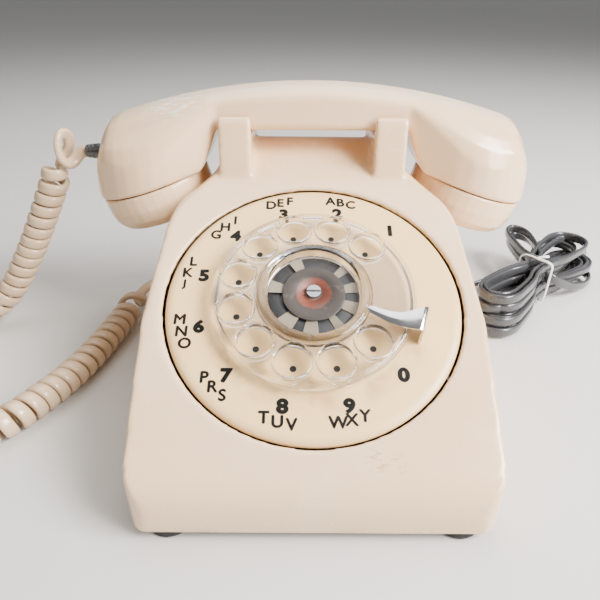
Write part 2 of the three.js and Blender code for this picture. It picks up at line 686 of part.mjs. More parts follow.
const seamZ = (x) => CUP_Z - (x - CUP_X) * Math.tan(CUP_ANGLE);
const SEAM_START = CUP_X - (CUP_RADIUS - 0.8) * Math.cos(CUP_ANGLE);
const FLARE_START = EAR_X + 1.5;

function undersideZ(x) {
  const flare = (x - FLARE_START - 0.5) / (SEAM_START - FLARE_START - 0.5);
  if (flare <= 0) return HANDSET_BOTTOM;
  if (flare >= 1) return seamZ(x);
  return HANDSET_BOTTOM + (seamZ(SEAM_START) - HANDSET_BOTTOM) * (1 - (1 - flare) ** 1.5) ** 1.1;
}

function halfDepth(x) {
  const cup = CUP_RADIUS + 0.2;
  const joinX = CUP_X - cup * 0.47;
  if (x <= FLARE_START) return GRIP_DEPTH / 2;
  if (x >= joinX) return Math.sqrt(cup ** 2 - (x - CUP_X) ** 2);
  const share = (x - FLARE_START) / (joinX - FLARE_START);
  const joinDepth = Math.sqrt(cup ** 2 - (joinX - CUP_X) ** 2);
  return GRIP_DEPTH / 2 + (joinDepth - GRIP_DEPTH / 2) * share;
}

// One cross-section: a low roof, a shoulder that falls away over the cup, a plain side and a flat underside.
function handsetSection(x) {
  const top = crownZ(Math.abs(x));
  const bottom = undersideZ(Math.abs(x));
  const half = halfDepth(Math.abs(x));
  const ridge = Math.min(RIDGE_HALF, half * 0.9);
  const ridgeZ = top - Math.min(5.1, (top - bottom) * 0.3);
  const fall = Math.min(1.15 * (half - ridge), (ridgeZ - bottom) * 0.75);
  const edge = half > GRIP_DEPTH / 2 + 3 ? 0.5 : 2.4;
  const side = [
    [0, top],
    [ridge * 0.5, top - (top - ridgeZ) * 0.25],
    [ridge * 0.85, top - (top - ridgeZ) * 0.66],
    [ridge, ridgeZ],
    [ridge + (half - ridge) * 0.45, ridgeZ - fall * 0.22],
    [ridge + (half - ridge) * 0.82, ridgeZ - fall * 0.55],
    [half, ridgeZ - fall],
    [half, bottom + edge],
    [half - edge * 0.7, bottom + edge * 0.25],
    [half - edge * 1.4, bottom],
    [0, bottom],
  ];
  const inner = side.slice(1, -1);
  return [side[0], ...inner.map(([y, z]) => [-y, z]), side[side.length - 1], ...inner.reverse()];
}

// A closed skin through cross-sections at rising x.
function loft(stations, section) {
  const rings = stations.map((x) => section(x).map(([y, z]) => [x, y, z]));
  const count = rings[0].length;
  const index = [];
  for (let ring = 0; ring + 1 < rings.length; ring += 1) {
    for (let point = 0; point < count; point += 1) {
      const next = (point + 1) % count;
      const here = ring * count;
      const ahead = here + count;
      index.push(here + point, here + next, ahead + next, here + point, ahead + next, ahead + point);
    }
  }
  const last = (rings.length - 1) * count;
  for (let point = 1; point + 1 < count; point += 1) {
    index.push(0, point + 1, point);
    index.push(last, last + point, last + point + 1);
  }
  const geometry = new THREE.BufferGeometry();
  geometry.setAttribute('position', new THREE.Float32BufferAttribute(rings.flat(2), 3));
  geometry.setIndex(index);
  return geometry;
}

function handsetStations() {
  const grip = [0, 0.25, 0.5, 0.75, 1].map((share) => share * FLARE_START);
  const shares = [0.06, 0.2, 0.35, 0.5, 0.65, 0.8, 0.92];
  const flare = shares.map((share) => FLARE_START + share * (SEAM_START - FLARE_START));
  const cup = [0, 0.12, 0.25, 0.38, 0.5, 0.62, 0.72, 0.81, 0.88, 0.93, 0.965, 0.985, 1]
    .map((share) => SEAM_START + share * (HANDSET_END - SEAM_START));
  const right = [...grip, ...flare, ...cup];
  return [...right.slice(1).reverse().map((x) => -x), ...right];
}

// Place a solid made round +Z so that its Z axis is the axis of one cup, pointing out of the face.
function atCup(geometry, side) {
  return geometry.rotateX(Math.PI).rotateY(side * CUP_ANGLE).translate(side * CUP_X, HANDSET_Y, CUP_Z);
}

function handsetShell() {
  const body = loft(handsetStations(), handsetSection).translate(0, HANDSET_Y, 0);
  const rim = CUP_RADIUS - 3;
  const hollow = (side) => atCup(turned([
    [0, -19], [rim - 8.1, -19], [rim - 3.6, -9], [rim, -1], [rim, 5], [0, 5],
  ], 40), side);
  const wayX = CUP_X - 14;
  const wayTop = HANDSET_BOTTOM + 8.5;
  const wireway = box(-wayX, wayX, HANDSET_Y - 4, HANDSET_Y + 4, wayTop - 5.5, wayTop);
  const drop = (side) => {
    const x = side * (wayX - 4);
    return box(x - 4, x + 4, HANDSET_Y - 3.5, HANDSET_Y + 3.5, CUP_Z, wayTop - 1);
  };
  const exit = discX(EXIT_RADIUS + CLEAR, -HANDSET_END - 5, HANDSET_EXIT_X + 2, HANDSET_Y, CORD_EXIT_Z, 20);
  return cut(body, hollow(1), hollow(-1), wireway, drop(1), drop(-1), exit);
}

// Screwed cap over a cup: a dished face with holes and a rim that meets the seam.
function handsetCap(side, holes) {
  const rim = CUP_RADIUS;
  const cap = turned([
    [0, CAP_HEIGHT - 3.4],
    [rim - 6.4, CAP_HEIGHT - 3.4],
    [rim - 3.4, CAP_HEIGHT - 8],
    [rim - 2.8, CLEAR],
    [rim - 0.3, CLEAR],
    [rim, CLEAR + 1.2],
    [rim, CAP_HEIGHT - 11],
    [rim - 1.2, CAP_HEIGHT - 5],
    [rim - 4.2, CAP_HEIGHT - 1],
    [rim - 7.5, CAP_HEIGHT],
    [rim - 10, CAP_HEIGHT - 0.6],
    [0, CAP_HEIGHT - 1.6],
  ], 36);
  const drills = holes.map(([x, y]) => discZ(1.1, CAP_HEIGHT - 8, CAP_HEIGHT + 5, x, y, 6));
  return atCup(cut(cap, ...drills), side);
}

function holeRing(count, radius) {
  const places = [];
  for (let index = 0; index < count; index += 1) {
    const angle = (index * 2 * Math.PI) / count;
    places.push([radius * Math.cos(angle), radius * Math.sin(angle)]);
  }
  return places;
}

const CORD_EXIT_Z = CUP_Z + 14.5;
const GROMMET_LENGTH = 12.3;
const EXIT_RADIUS = 4.2;
const HANDSET_EXIT_X = -HANDSET_END + 5.5; // inner end of the grommet in the cup's end wall

function buildHandset(parent) {
  addPiece(parent, 'handset_shell', handsetShell(), ivory());
  const voiceHoles = [[0, 0], ...holeRing(6, 6), ...holeRing(12, 12)];
  addPiece(parent, 'transmitter_cap', handsetCap(-1, voiceHoles), ivory());
  addPiece(parent, 'receiver_cap', handsetCap(1, [[0, 0], ...holeRing(6, 5)]), ivory());
  const capsuleRadius = CUP_RADIUS - 8;
  const capsule = () => turned([
    [0, CAP_HEIGHT - 15], [capsuleRadius - 3.6, CAP_HEIGHT - 15], [capsuleRadius, CAP_HEIGHT - 10],
    [capsuleRadius, CAP_HEIGHT - 4.2],
    [0, CAP_HEIGHT - 4.2],
  ], 36);
  addPiece(parent, 'transmitter_capsule', atCup(capsule(), -1), steel());
  addPiece(parent, 'receiver_capsule', atCup(capsule(), 1), steel());
  const holderRadius = CUP_RADIUS - 6.6;
  const holder = turned([
    [holderRadius - 8, -4], [holderRadius, -4], [holderRadius, CAP_HEIGHT - 16],
    [holderRadius - 1.6, CAP_HEIGHT - 16], [holderRadius - 1.6, -2.4], [holderRadius - 8, -2.4],
  ], 36);
  addPiece(parent, 'transmitter_cup', atCup(holder, -1), blackPlastic());
}

// ---------------------------------------------------------------- cords
const vector = ([x, y, z]) => new THREE.Vector3(x, y, z);

// A closed tube of a given diameter along a smooth path through hand-chosen points.
function tube(points, diameter, sides, steps) {
  const section = new THREE.Shape();
  for (let index = 0; index < sides; index += 1) {
    const angle = (index * 2 * Math.PI) / sides;
    const x = (diameter / 2) * Math.cos(angle);
    const y = (diameter / 2) * Math.sin(angle);
    if (index === 0) section.moveTo(x, y);
    else section.lineTo(x, y);
  }
  section.closePath();
  const extrudePath = new THREE.CatmullRomCurve3(points.map(vector), false, 'centripetal');
  return new THREE.ExtrudeGeometry(section, { steps, extrudePath, bevelEnabled: false });
}

// Handset cord: a short lead, the curly stretch hanging to the table and back, and a lead to the housing.
const LEAD_START_X = HANDSET_EXIT_X - GROMMET_LENGTH - CLEAR;
const LEFT_X = -WIDTH / 2;
const TAIL_END_X = -sideWallX(HANDSET_CORD_Y) - 7.5;
const leadPoints = [
  [LEAD_START_X, HANDSET_Y, CORD_EXIT_Z],
  [LEAD_START_X - 4, HANDSET_Y, CORD_EXIT_Z],
  [LEAD_START_X - 9.9, HANDSET_Y - 1.5, CORD_EXIT_Z - 2.5],
  [LEAD_START_X - 15.4, HANDSET_Y - 3, CORD_EXIT_Z - 6.9],
];
const coilPoints = [
  [LEAD_START_X - 16, HANDSET_Y - 3.1, CORD_EXIT_Z - 8.1],
  [LEAD_START_X - 21.4, HANDSET_Y - 4, CORD_EXIT_Z - 19.5],
  [LEAD_START_X - 31.4, HANDSET_Y - 5.5, 67],
  [LEAD_START_X - 44.4, HANDSET_Y - 7.5, 44],
  [LEAD_START_X - 59.4, HANDSET_Y - 11.5, 22],
  [LEAD_START_X - 76.4, HANDSET_Y - 20.5, 9.6],
  [LEAD_START_X - 97.4, 20, 8],
  [LEAD_START_X - 107.4, -10, 8],
  [LEAD_START_X - 97.4, -42, 8],
  [LEFT_X - 122.5, -62, 8],
  [LEFT_X - 94.5, -64, 8],
  [LEFT_X - 70.5, -54, 8],
  [LEFT_X - 57.5, -34, 8],
  [LEFT_X - 48.5, -12, 8],
  [LEFT_X - 42.5, 14, 8],
  [LEFT_X - 38.5, REAR_Y - 68, 8],
  [LEFT_X - 37.9, REAR_Y - 46, 8],
];
const tailPoints = [
  [LEFT_X - 37.8, REAR_Y - 45.2, 8],
  [LEFT_X - 36.5, REAR_Y - 37, 8],
  [LEFT_X - 31.5, REAR_Y - 29, 9.5],
  [TAIL_END_X - 16, HANDSET_CORD_Y, 12],
  [TAIL_END_X - 7, HANDSET_CORD_Y, CORD_ENTRY_Z],
  [TAIL_END_X, HANDSET_CORD_Y, CORD_ENTRY_Z],
];

// Line cord: from the rear wall round to the folded hank at the right.
const RIGHT_X = WIDTH / 2;
const lineLeadPoints = [
  [LINE_CORD_X, REAR_Y + 6.4, CORD_ENTRY_Z],
  [LINE_CORD_X, REAR_Y + 14, CORD_ENTRY_Z],
  [LINE_CORD_X + 6, REAR_Y + 24, 6],
  [RIGHT_X - 15.5, REAR_Y + 27, 2.8],
  [RIGHT_X + 4.5, REAR_Y + 12, 2.8],
  [RIGHT_X + 14.5, REAR_Y - 9, 2.8],
  [RIGHT_X + 25.5, REAR_Y - 17, 2.8],
  [RIGHT_X + 38.5, REAR_Y - 17, 4],
  [RIGHT_X + 48.5, REAR_Y - 15.5, 9],
  [RIGHT_X + 54.9, REAR_Y - 19.8, 12],
  [RIGHT_X + 60.9, REAR_Y - 26.3, 12],
];
const HANK_WAIST_PLACE = [RIGHT_X + 75.5, REAR_Y - 28];
const HANK_ANGLE = THREE.MathUtils.degToRad(43);
const HANK_BEND = THREE.MathUtils.degToRad(17);
const HANK_LENGTH = 132;
const HANK_WIDTH = 42;
const HANK_WAIST = 22;
const HANK_HEIGHT = 31;
const HANK_FLOOR = 2.4;
const BACK_LOBE_LENGTH = 66;
const BACK_LOBE_WIDTH = 22;
const TIE_LENGTH = 7;
const TIE_THICK = 1.6;

// Folded cord: a long lobe either side of the tie, and a shorter one that stands out behind it.
function hank() {
  const waist = TIE_LENGTH / 2 + 3;
  const height = HANK_HEIGHT - HANK_FLOOR;
  const lobe = (length, width) => alongZ(roundedShape([
    [0, HANK_WAIST / 2],
    [0, -HANK_WAIST / 2],
    [length, -width / 2, width * 0.45],
    [length, width / 2, width * 0.45],
  ]), 0, height);
  const backLobe = alongZ(roundedShape([
    [12, -BACK_LOBE_WIDTH / 2],
    [BACK_LOBE_LENGTH, -BACK_LOBE_WIDTH / 2, 10],
    [BACK_LOBE_LENGTH, BACK_LOBE_WIDTH / 2, 10],
    [12, BACK_LOBE_WIDTH / 2],
  ]), 0, height);
  const reach = HANK_LENGTH / 2 - waist + 0.5;
  return join(
    box(-waist, waist, -HANK_WAIST / 2, HANK_WAIST / 2, 0, height),
    lobe(reach, HANK_WIDTH).translate(waist - 0.5, 0, 0),
    lobe(reach, HANK_WIDTH * 0.76).rotateZ(Math.PI + HANK_BEND).translate(0.5 - waist, 0, 0),
    backLobe.rotateZ(Math.PI / 4).translate(waist + 2, 0, 0),
  );
}

function hankTie() {
  const half = HANK_WAIST / 2 + CLEAR;
  const bottom = -CLEAR;
  const top = HANK_HEIGHT - HANK_FLOOR + CLEAR;
  const outer = [
    [-half - TIE_THICK, bottom - TIE_THICK, 2], [half + TIE_THICK, bottom - TIE_THICK, 2],
    [half + TIE_THICK, top + TIE_THICK, 2], [-half - TIE_THICK, top + TIE_THICK, 2],
  ];
  const band = alongX(roundedShape(outer, 3), -TIE_LENGTH / 2, TIE_LENGTH / 2);
  return cut(band, box(-TIE_LENGTH, TIE_LENGTH, -half, half, bottom, top));
}

function grommetX() {
  const flange = discX(GROMMET_RADIUS + 1.6, -4.6, -1.2, 0, 0, 20);
  const collar = discX(GROMMET_RADIUS, -3, WALL + 2, 0, 0, 20);
  return join(flange, collar, discX(GROMMET_RADIUS - 0.6, -6, -4, 0, 0, 20));
}

function buildCords(parent) {
  const exitGrommet = discX(
    EXIT_RADIUS, HANDSET_EXIT_X - GROMMET_LENGTH, HANDSET_EXIT_X, HANDSET_Y, CORD_EXIT_Z, 20,
  );
  addPiece(parent, 'handset_grommet', exitGrommet, ivory());
  addPiece(parent, 'handset_cord_lead', tube(leadPoints, HANDSET_CORD_DIAMETER, 10, 8), ivory());
  addPiece(parent, 'handset_cord_coil', tube(coilPoints, COIL_DIAMETER, 8, 40), ivory());
  addPiece(parent, 'handset_cord_tail', tube(tailPoints, HANDSET_CORD_DIAMETER, 10, 12), ivory());
  const wallX = sideWallX(HANDSET_CORD_Y);
  const housingGrommet = grommetX().translate(-wallX, HANDSET_CORD_Y, CORD_ENTRY_Z);
  addPiece(parent, 'handset_cord_grommet', housingGrommet, ivory());

  const lineGrommet = grommetX().rotateZ(-Math.PI / 2).translate(LINE_CORD_X, REAR_Y, CORD_ENTRY_Z);
  addPiece(parent, 'line_cord_grommet', lineGrommet, greyVinyl());
  addPiece(parent, 'line_cord_lead', tube(lineLeadPoints, LINE_CORD_DIAMETER, 8, 28), greyVinyl());

  const bundle = new THREE.Group();
  bundle.position.set(...HANK_WAIST_PLACE, HANK_FLOOR);
  bundle.rotation.z = HANK_ANGLE;
  parent.add(bundle);
  addPiece(bundle, 'line_cord_hank', hank(), greyVinyl());
  addPiece(bundle, 'line_cord_tie', hankTie(), whitePlastic());
  const plugX = HANK_LENGTH / 2 + CLEAR;
  addPiece(bundle, 'line_plug', box(plugX, plugX + 14, -5, 5, 2, 9), clear());
}

// ---------------------------------------------------------------- telephone
const telephone = new THREE.Group();
buildBase(telephone);
buildDial(telephone);
addPiece(telephone, 'dial_bracket_left', dialBracket(-1), steel());
addPiece(telephone, 'dial_bracket_right', dialBracket(1), steel());
buildRinger(telephone);
buildHookSwitch(telephone);
addPiece(telephone, 'network_block', networkBlock(), blackPlastic());
buildHandset(telephone);
buildCords(telephone);

export default telephone;
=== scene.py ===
# Visual model of the rotary desk telephone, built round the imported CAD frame. Metres, +Z up.
import json
import math

import bpy
import bmesh
from mathutils import Matrix, Vector


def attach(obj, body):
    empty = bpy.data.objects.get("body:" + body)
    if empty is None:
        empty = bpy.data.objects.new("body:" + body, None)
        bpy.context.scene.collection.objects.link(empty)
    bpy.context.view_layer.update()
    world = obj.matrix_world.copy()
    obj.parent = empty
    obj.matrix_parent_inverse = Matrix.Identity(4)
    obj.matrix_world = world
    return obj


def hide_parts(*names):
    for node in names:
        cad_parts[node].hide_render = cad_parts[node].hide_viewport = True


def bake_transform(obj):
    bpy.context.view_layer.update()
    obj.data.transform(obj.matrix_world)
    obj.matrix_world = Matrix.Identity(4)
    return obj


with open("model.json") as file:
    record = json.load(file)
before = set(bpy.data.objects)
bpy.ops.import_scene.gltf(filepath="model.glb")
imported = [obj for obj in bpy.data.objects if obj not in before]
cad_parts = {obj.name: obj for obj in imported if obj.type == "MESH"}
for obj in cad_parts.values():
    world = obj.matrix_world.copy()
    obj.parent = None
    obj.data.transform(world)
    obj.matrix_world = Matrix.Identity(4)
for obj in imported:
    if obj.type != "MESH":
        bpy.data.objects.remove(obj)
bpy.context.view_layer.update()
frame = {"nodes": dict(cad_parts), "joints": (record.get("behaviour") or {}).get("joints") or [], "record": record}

MM = 0.001
NODES = frame["nodes"]
RECORD = frame["record"]
SLOT_OF = {part["node"]: part["material_slot"] for part in RECORD["subparts"]}
JOINT = {joint["name"]: joint for joint in frame["joints"]}


# ---------------------------------------------------------------- places taken from the frame
def mm(points):
    return [Vector(point) * MM for point in points]



DIAL_CENTRE = Vector(JOINT["dial_turn"]["pos_m"])
DIAL_AXIS = Vector(JOINT["dial_turn"]["axis"]).normalized()
DIAL_RIGHT = Vector((1, 0, 0))
DIAL_UP = DIAL_AXIS.cross(DIAL_RIGHT).normalized()
DIAL = Matrix((
    (DIAL_RIGHT.x, DIAL_UP.x, DIAL_AXIS.x, DIAL_CENTRE.x),
    (DIAL_RIGHT.y, DIAL_UP.y, DIAL_AXIS.y, DIAL_CENTRE.y),
    (DIAL_RIGHT.z, DIAL_UP.z, DIAL_AXIS.z, DIAL_CENTRE.z),
    (0, 0, 0, 1),
))


# ---------------------------------------------------------------- camera, light and floor
def make_camera():
    data = bpy.data.cameras.new("camera")
    camera = bpy.data.objects.new("camera", data)
    bpy.context.scene.collection.objects.link(camera)
    data.sensor_width = 36
    data.lens = 31.66
    data.clip_start = 0.01
    pitch, yaw, roll = math.radians(30.83), math.radians(0.15), math.radians(0.5)
    look = Vector((math.sin(yaw) * math.cos(pitch), math.cos(yaw) * math.cos(pitch), -math.sin(pitch)))
    right = Vector((math.cos(yaw), -math.sin(yaw), 0))
    up = right.cross(look)
    turned_right = right * math.cos(roll) + up * math.sin(roll)
    turned_up = up * math.cos(roll) - right * math.sin(roll)
    rotation = Matrix((turned_right, turned_up, -look)).transposed()
    camera.matrix_world = Matrix.Translation((-0.0065, -0.2342, 0.1849)) @ rotation.to_4x4()
    bpy.context.scene.camera = camera


def area_light(name, place, target, size, power, colour):
    data = bpy.data.lights.new(name, "AREA")
    data.size = size
    data.energy = power
    data.color = colour
    light = bpy.data.objects.new(name, data)
    bpy.context.scene.collection.objects.link(light)
    direction = Vector(target) - Vector(place)
    light.matrix_world = Matrix.Translation(place) @ direction.to_track_quat("-Z", "Y").to_matrix().to_4x4()


def make_lights():
    area_light("key", (0.75, -0.32, 0.74), (0, 0, 0.05), 0.5, 39, (1, 0.985, 0.96))
    area_light("window", (0.58, -0.50, 0.30), (0.09, -0.08, 0.06), 0.3, 5.5, (1, 0.99, 0.97))
    area_light("fill", (-0.8, -0.5, 0.8), (0, 0, 0.05), 0.9, 1.8, (1, 0.86, 0.72))
    area_light("top", (0, 0.35, 1.0), (0, 0, 0), 0.8, 9, (1, 0.98, 0.95))
    world = bpy.context.scene.world or bpy.data.worlds.new("world")
    bpy.context.scene.world = world
    world.use_nodes = True
    background = world.node_tree.nodes["Background"]
    background.inputs["Color"].default_value = (0.86, 0.88, 0.9, 1)
    background.inputs["Strength"].default_value = 0.33


def make_floor():
    mesh = bpy.data.meshes.new("floor")
    half = 14
    corners = [(-half, -half, 0), (half, -half, 0), (half, half, 0), (-half, half, 0)]
    mesh.from_pydata(corners, [], [(0, 1, 2, 3)])
    floor = bpy.data.objects.new("floor", mesh)
    bpy.context.scene.collection.objects.link(floor)
    floor.location.z = -0.0002
    material = bpy.data.materials.new("floor_paint")
    material.use_nodes = True
    shader = material.node_tree.nodes["Principled BSDF"]
    shader.inputs["Base Color"].default_value = (0.62, 0.60, 0.57, 1)
    shader.inputs["Roughness"].default_value = 0.75
    mesh.materials.append(material)


# ---------------------------------------------------------------- material nodes
class Look:
    """A procedural material: colours mixed by masks, roughness and bump, all in object space."""

    def __init__(self, name, colour, roughness, metallic=0.0, coat=0.0):
        self.material = bpy.data.materials.new(name)
        self.material.use_nodes = True
        self.tree = self.material.node_tree
        self.shader = self.tree.nodes["Principled BSDF"]
        self.shader.inputs["Metallic"].default_value = metallic
        self.shader.inputs["Coat Weight"].default_value = coat
        self.shader.inputs["Coat Roughness"].default_value = 0.12
        self.place = self.tree.nodes.new("ShaderNodeTexCoord").outputs["Object"]
        self.colour = self.rgb(colour)
        self.rough = self.number(roughness)
        self.height = None

    def node(self, kind, **settings):
        made = self.tree.nodes.new(kind)
        for key, value in settings.items():
            setattr(made, key, value)
        return made

    def link(self, source, target):
        if hasattr(source, "is_output"):
            self.tree.links.new(source, target)
        else:
            target.default_value = source

    def rgb(self, colour):
        made = self.node("ShaderNodeRGB")
        made.outputs[0].default_value = (*colour, 1)
        return made.outputs[0]

    def number(self, value):
        made = self.node("ShaderNodeValue")
        made.outputs[0].default_value = value
        return made.outputs[0]

    def math(self, operation, first, second=0.0, clamp=False):
        made = self.node("ShaderNodeMath", operation=operation, use_clamp=clamp)
        self.link(first, made.inputs[0])
        self.link(second, made.inputs[1])
        return made.outputs[0]

    def ramp(self, value, low, high, out_low=0.0, out_high=1.0):
        made = self.node("ShaderNodeMapRange", interpolation_type="SMOOTHSTEP")
        self.link(value, made.inputs["Value"])
        made.inputs["From Min"].default_value = low
        made.inputs["From Max"].default_value = high
        made.inputs["To Min"].default_value = out_low
        made.inputs["To Max"].default_value = out_high
        return made.outputs["Result"]

    def stretch(self, scale):
        made = self.node("ShaderNodeVectorMath", operation="MULTIPLY")
        self.link(self.place, made.inputs[0])
        made.inputs[1].default_value = scale
        return made.outputs[0]

    def noise(self, scale, detail=3.0, roughness=0.55, vector=None):
        made = self.node("ShaderNodeTexNoise")
        self.link(vector or self.place, made.inputs["Vector"])
        made.inputs["Scale"].default_value = scale
        made.inputs["Detail"].default_value = detail
        made.inputs["Roughness"].default_value = roughness
        return made.outputs["Fac"]

    def axis(self, index):
        made = self.node("ShaderNodeSeparateXYZ")
        self.link(self.place, made.inputs[0])
        return made.outputs[index]

    def normal_axis(self, index):
        geometry = self.node("ShaderNodeNewGeometry")
        made = self.node("ShaderNodeSeparateXYZ")
        self.link(geometry.outputs["Normal"], made.inputs[0])
        return made.outputs[index]

    def distance(self, point):
        made = self.node("ShaderNodeVectorMath", operation="DISTANCE")
        self.link(self.place, made.inputs[0])
        made.inputs[1].default_value = point
        return made.outputs["Value"]

    def tint(self, mask, colour, strength=1.0):
        made = self.node("ShaderNodeMix", data_type="RGBA", blend_type="MIX")
        self.link(self.math("MULTIPLY", mask, strength), made.inputs["Factor"])
        self.link(self.colour, made.inputs["A"])
        made.inputs["B"].default_value = (*colour, 1)
        self.colour = made.outputs["Result"]
        return self

    def roughen(self, mask, amount):
        self.rough = self.math("ADD", self.rough, self.math("MULTIPLY", mask, amount), clamp=True)
        return self

    def bump(self, height, depth):
        scaled = self.math("MULTIPLY", height, depth)
        self.height = scaled if self.height is None else self.math("ADD", self.height, scaled)
        return self

    def done(self):
        self.link(self.colour, self.shader.inputs["Base Color"])
        self.link(self.rough, self.shader.inputs["Roughness"])
        if self.height is not None:
            bump = self.node("ShaderNodeBump")
            bump.inputs["Strength"].default_value = 1.0
            bump.inputs["Distance"].default_value = 1.0
            self.link(self.height, bump.inputs["Height"])
            self.link(bump.outputs["Normal"], self.shader.inputs["Normal"])
        return self.material


IVORY = (0.82, 0.57, 0.35)
IVORY_YELLOW = (0.76, 0.47, 0.24)
IVORY_PALE = (0.86, 0.67, 0.47)
CREAM = (0.93, 0.60, 0.26)
DIRT = (0.25, 0.16, 0.08)


def ivory_look(name):
    look = Look(name, IVORY, 0.22, coat=0.35)
    look.tint(look.ramp(look.noise(9, 4), 0.42, 0.72), IVORY_YELLOW, 0.35)
    look.tint(look.ramp(look.noise(31, 3), 0.5, 0.8), IVORY_PALE, 0.35)
    look.tint(look.ramp(look.noise(900, 2), 0.70, 0.76), DIRT, 0.25)
    look.roughen(look.ramp(look.noise(60, 5), 0.45, 0.8), 0.14)
    scratches = look.noise(140, 2, vector=look.stretch((1, 9, 3)))
    look.roughen(look.ramp(scratches, 0.66, 0.74), 0.18)
    look.bump(look.noise(260, 2), 0.00003)
    look.bump(look.noise(38, 2), 0.00008)
    return look


# Worn spots on the housing: centre and radius, in metres.
SCUFFS = (
    ((0.023, -0.095, 0.032), 0.006),
    ((0.031, -0.0965, 0.0315), 0.005),
    ((-0.052, -0.06, 0.049), 0.003),
)


def housing_look():
    look = ivory_look("housing_ivory")
    near_floor = look.ramp(look.axis(2), 0.012, 0.003)
    base_dirt = look.math("MULTIPLY", near_floor, look.ramp(look.noise(70, 4), 0.4, 0.7))
    look.tint(base_dirt, DIRT, 0.30)
    for point, size in SCUFFS:
        smear = look.noise(420, 4, vector=look.stretch((0.6, 1.6, 1.6)))
        near = look.ramp(look.distance(point), size, size * 0.3)
        mask = look.math("MULTIPLY", near, look.ramp(smear, 0.5, 0.62))
        look.tint(mask, (0.42, 0.24, 0.12), 0.7)
    return look.done()


def handset_look():
    look = ivory_look("handset_ivory")
    facing_up = look.ramp(look.normal_axis(2), 0.80, 0.97)
    dust = look.math("MULTIPLY", facing_up, look.ramp(look.axis(2), 0.110, 0.125))
    look.tint(dust, (0.60, 0.54, 0.46), 0.45)
    look.roughen(dust, 0.25)
    # Painted highlight: a near-white streaky patch on top of the left cup.
    painted_highlight_streaks = look.noise(330, 5, vector=look.stretch((0.5, 2.2, 1.6)))
    near = look.ramp(look.distance((-0.072, 0.049, 0.136)), 0.022, 0.006)
    look.tint(look.math("MULTIPLY", near, look.ramp(painted_highlight_streaks, 0.52, 0.60)), (0.88, 0.85, 0.80), 0.85)
    return look.done()


def plate_look():
    look = Look("plate_cream", CREAM, 0.34, coat=0.15)
    look.tint(look.ramp(look.noise(22, 4), 0.45, 0.75), (0.92, 0.67, 0.32), 0.45)
    radius = look.distance(tuple(DIAL_CENTRE))
    band = look.math("MULTIPLY", look.ramp(radius, 0.0425, 0.0465), look.ramp(radius, 0.056, 0.0475))
    lower = look.ramp(look.axis(1), DIAL_CENTRE.y + 0.004, DIAL_CENTRE.y - 0.030)
    handled = look.math("MULTIPLY", band, lower)
    smudge = look.math("MULTIPLY", handled, look.ramp(look.noise(75, 5), 0.36, 0.68))
    look.tint(smudge, (0.38, 0.22, 0.10), 0.55)
    # Painted shade: the rolled outer edge, where the plate curves down into the gap, is tinted darker.
    painted_rim_shade = look.ramp(radius, 0.0615, 0.0645)
    look.tint(painted_rim_shade, (0.60, 0.46, 0.26), 0.35)
    look.tint(look.ramp(look.noise(700, 2), 0.70, 0.76), DIRT, 0.4)
    look.bump(look.noise(300, 2), 0.00003)
    look.roughen(look.ramp(look.noise(80, 4), 0.4, 0.8), 0.15)
    return look.done()


def clear_look(name, tint):
    look = Look(name, tint, 0.09)
    look.tint(look.ramp(look.noise(60, 4), 0.45, 0.8), (0.80, 0.77, 0.72), 0.3)
    look.roughen(look.ramp(look.noise(120, 5), 0.5, 0.75), 0.10)
    hub = look.ramp(look.distance(tuple(DIAL_CENTRE)), 0.0225, 0.0205)
    look.roughen(look.math("MULTIPLY", hub, look.ramp(look.noise(150, 4), 0.35, 0.6)), 0.22)
    look.bump(look.noise(160, 2), 0.00002)
    look.shader.inputs["Transmission Weight"].default_value = 1.0
    look.shader.inputs["IOR"].default_value = 1.47
    return look.done()


def metal_look(name, colour, roughness, grain=(1, 1, 1), depth=0.00002):
    look = Look(name, colour, roughness, metallic=1.0)
    brushed = look.noise(220, 3, vector=look.stretch(grain))
    look.tint(look.ramp(brushed, 0.4, 0.7), tuple(channel * 0.72 for channel in colour), 0.5)
    look.roughen(look.ramp(look.noise(50, 4), 0.45, 0.75), 0.15)
    look.bump(brushed, depth)
    return look.done()


def plain_look(name, colour, roughness, shade=0.6, bump=0.00004, coat=0.0, scale=120):
    look = Look(name, colour, roughness, coat=coat)
    look.tint(look.ramp(look.noise(scale, 4), 0.42, 0.72), tuple(channel * shade for channel in colour), 0.5)
    look.roughen(look.ramp(look.noise(scale * 2, 3), 0.45, 0.75), 0.12)
    look.bump(look.noise(scale * 4, 2), bump)
    return look.done()


def vinyl_look():
    look = Look("ivory_vinyl", (0.62, 0.45, 0.29), 0.26, coat=0.3)
    look.tint(look.ramp(look.noise(24, 4), 0.42, 0.7), (0.52, 0.35, 0.20), 0.5)
    look.tint(look.ramp(look.noise(420, 3), 0.62, 0.74), (0.45, 0.33, 0.22), 0.5)
    look.bump(look.noise(500, 2), 0.00003)
    return look.done()


def centre_look():
    look = Look("centre_card", (0.035, 0.026, 0.022), 0.5)
    radius = look.distance(tuple(DIAL_CENTRE + DIAL_AXIS * 0.0052))
    edge = look.math("ADD", radius, look.math("MULTIPLY", look.noise(300, 4), 0.002))
    look.tint(look.ramp(edge, 0.0096, 0.0080), (0.20, 0.05, 0.028), 0.8)
    look.tint(look.ramp(look.noise(260, 5), 0.55, 0.75), (0.10, 0.08, 0.07), 0.7)
    look.tint(look.ramp(radius, 0.0040, 0.0030), (0.30, 0.27, 0.24), 0.9)
    look.bump(look.noise(500, 3), 0.00008)
    return look.done()


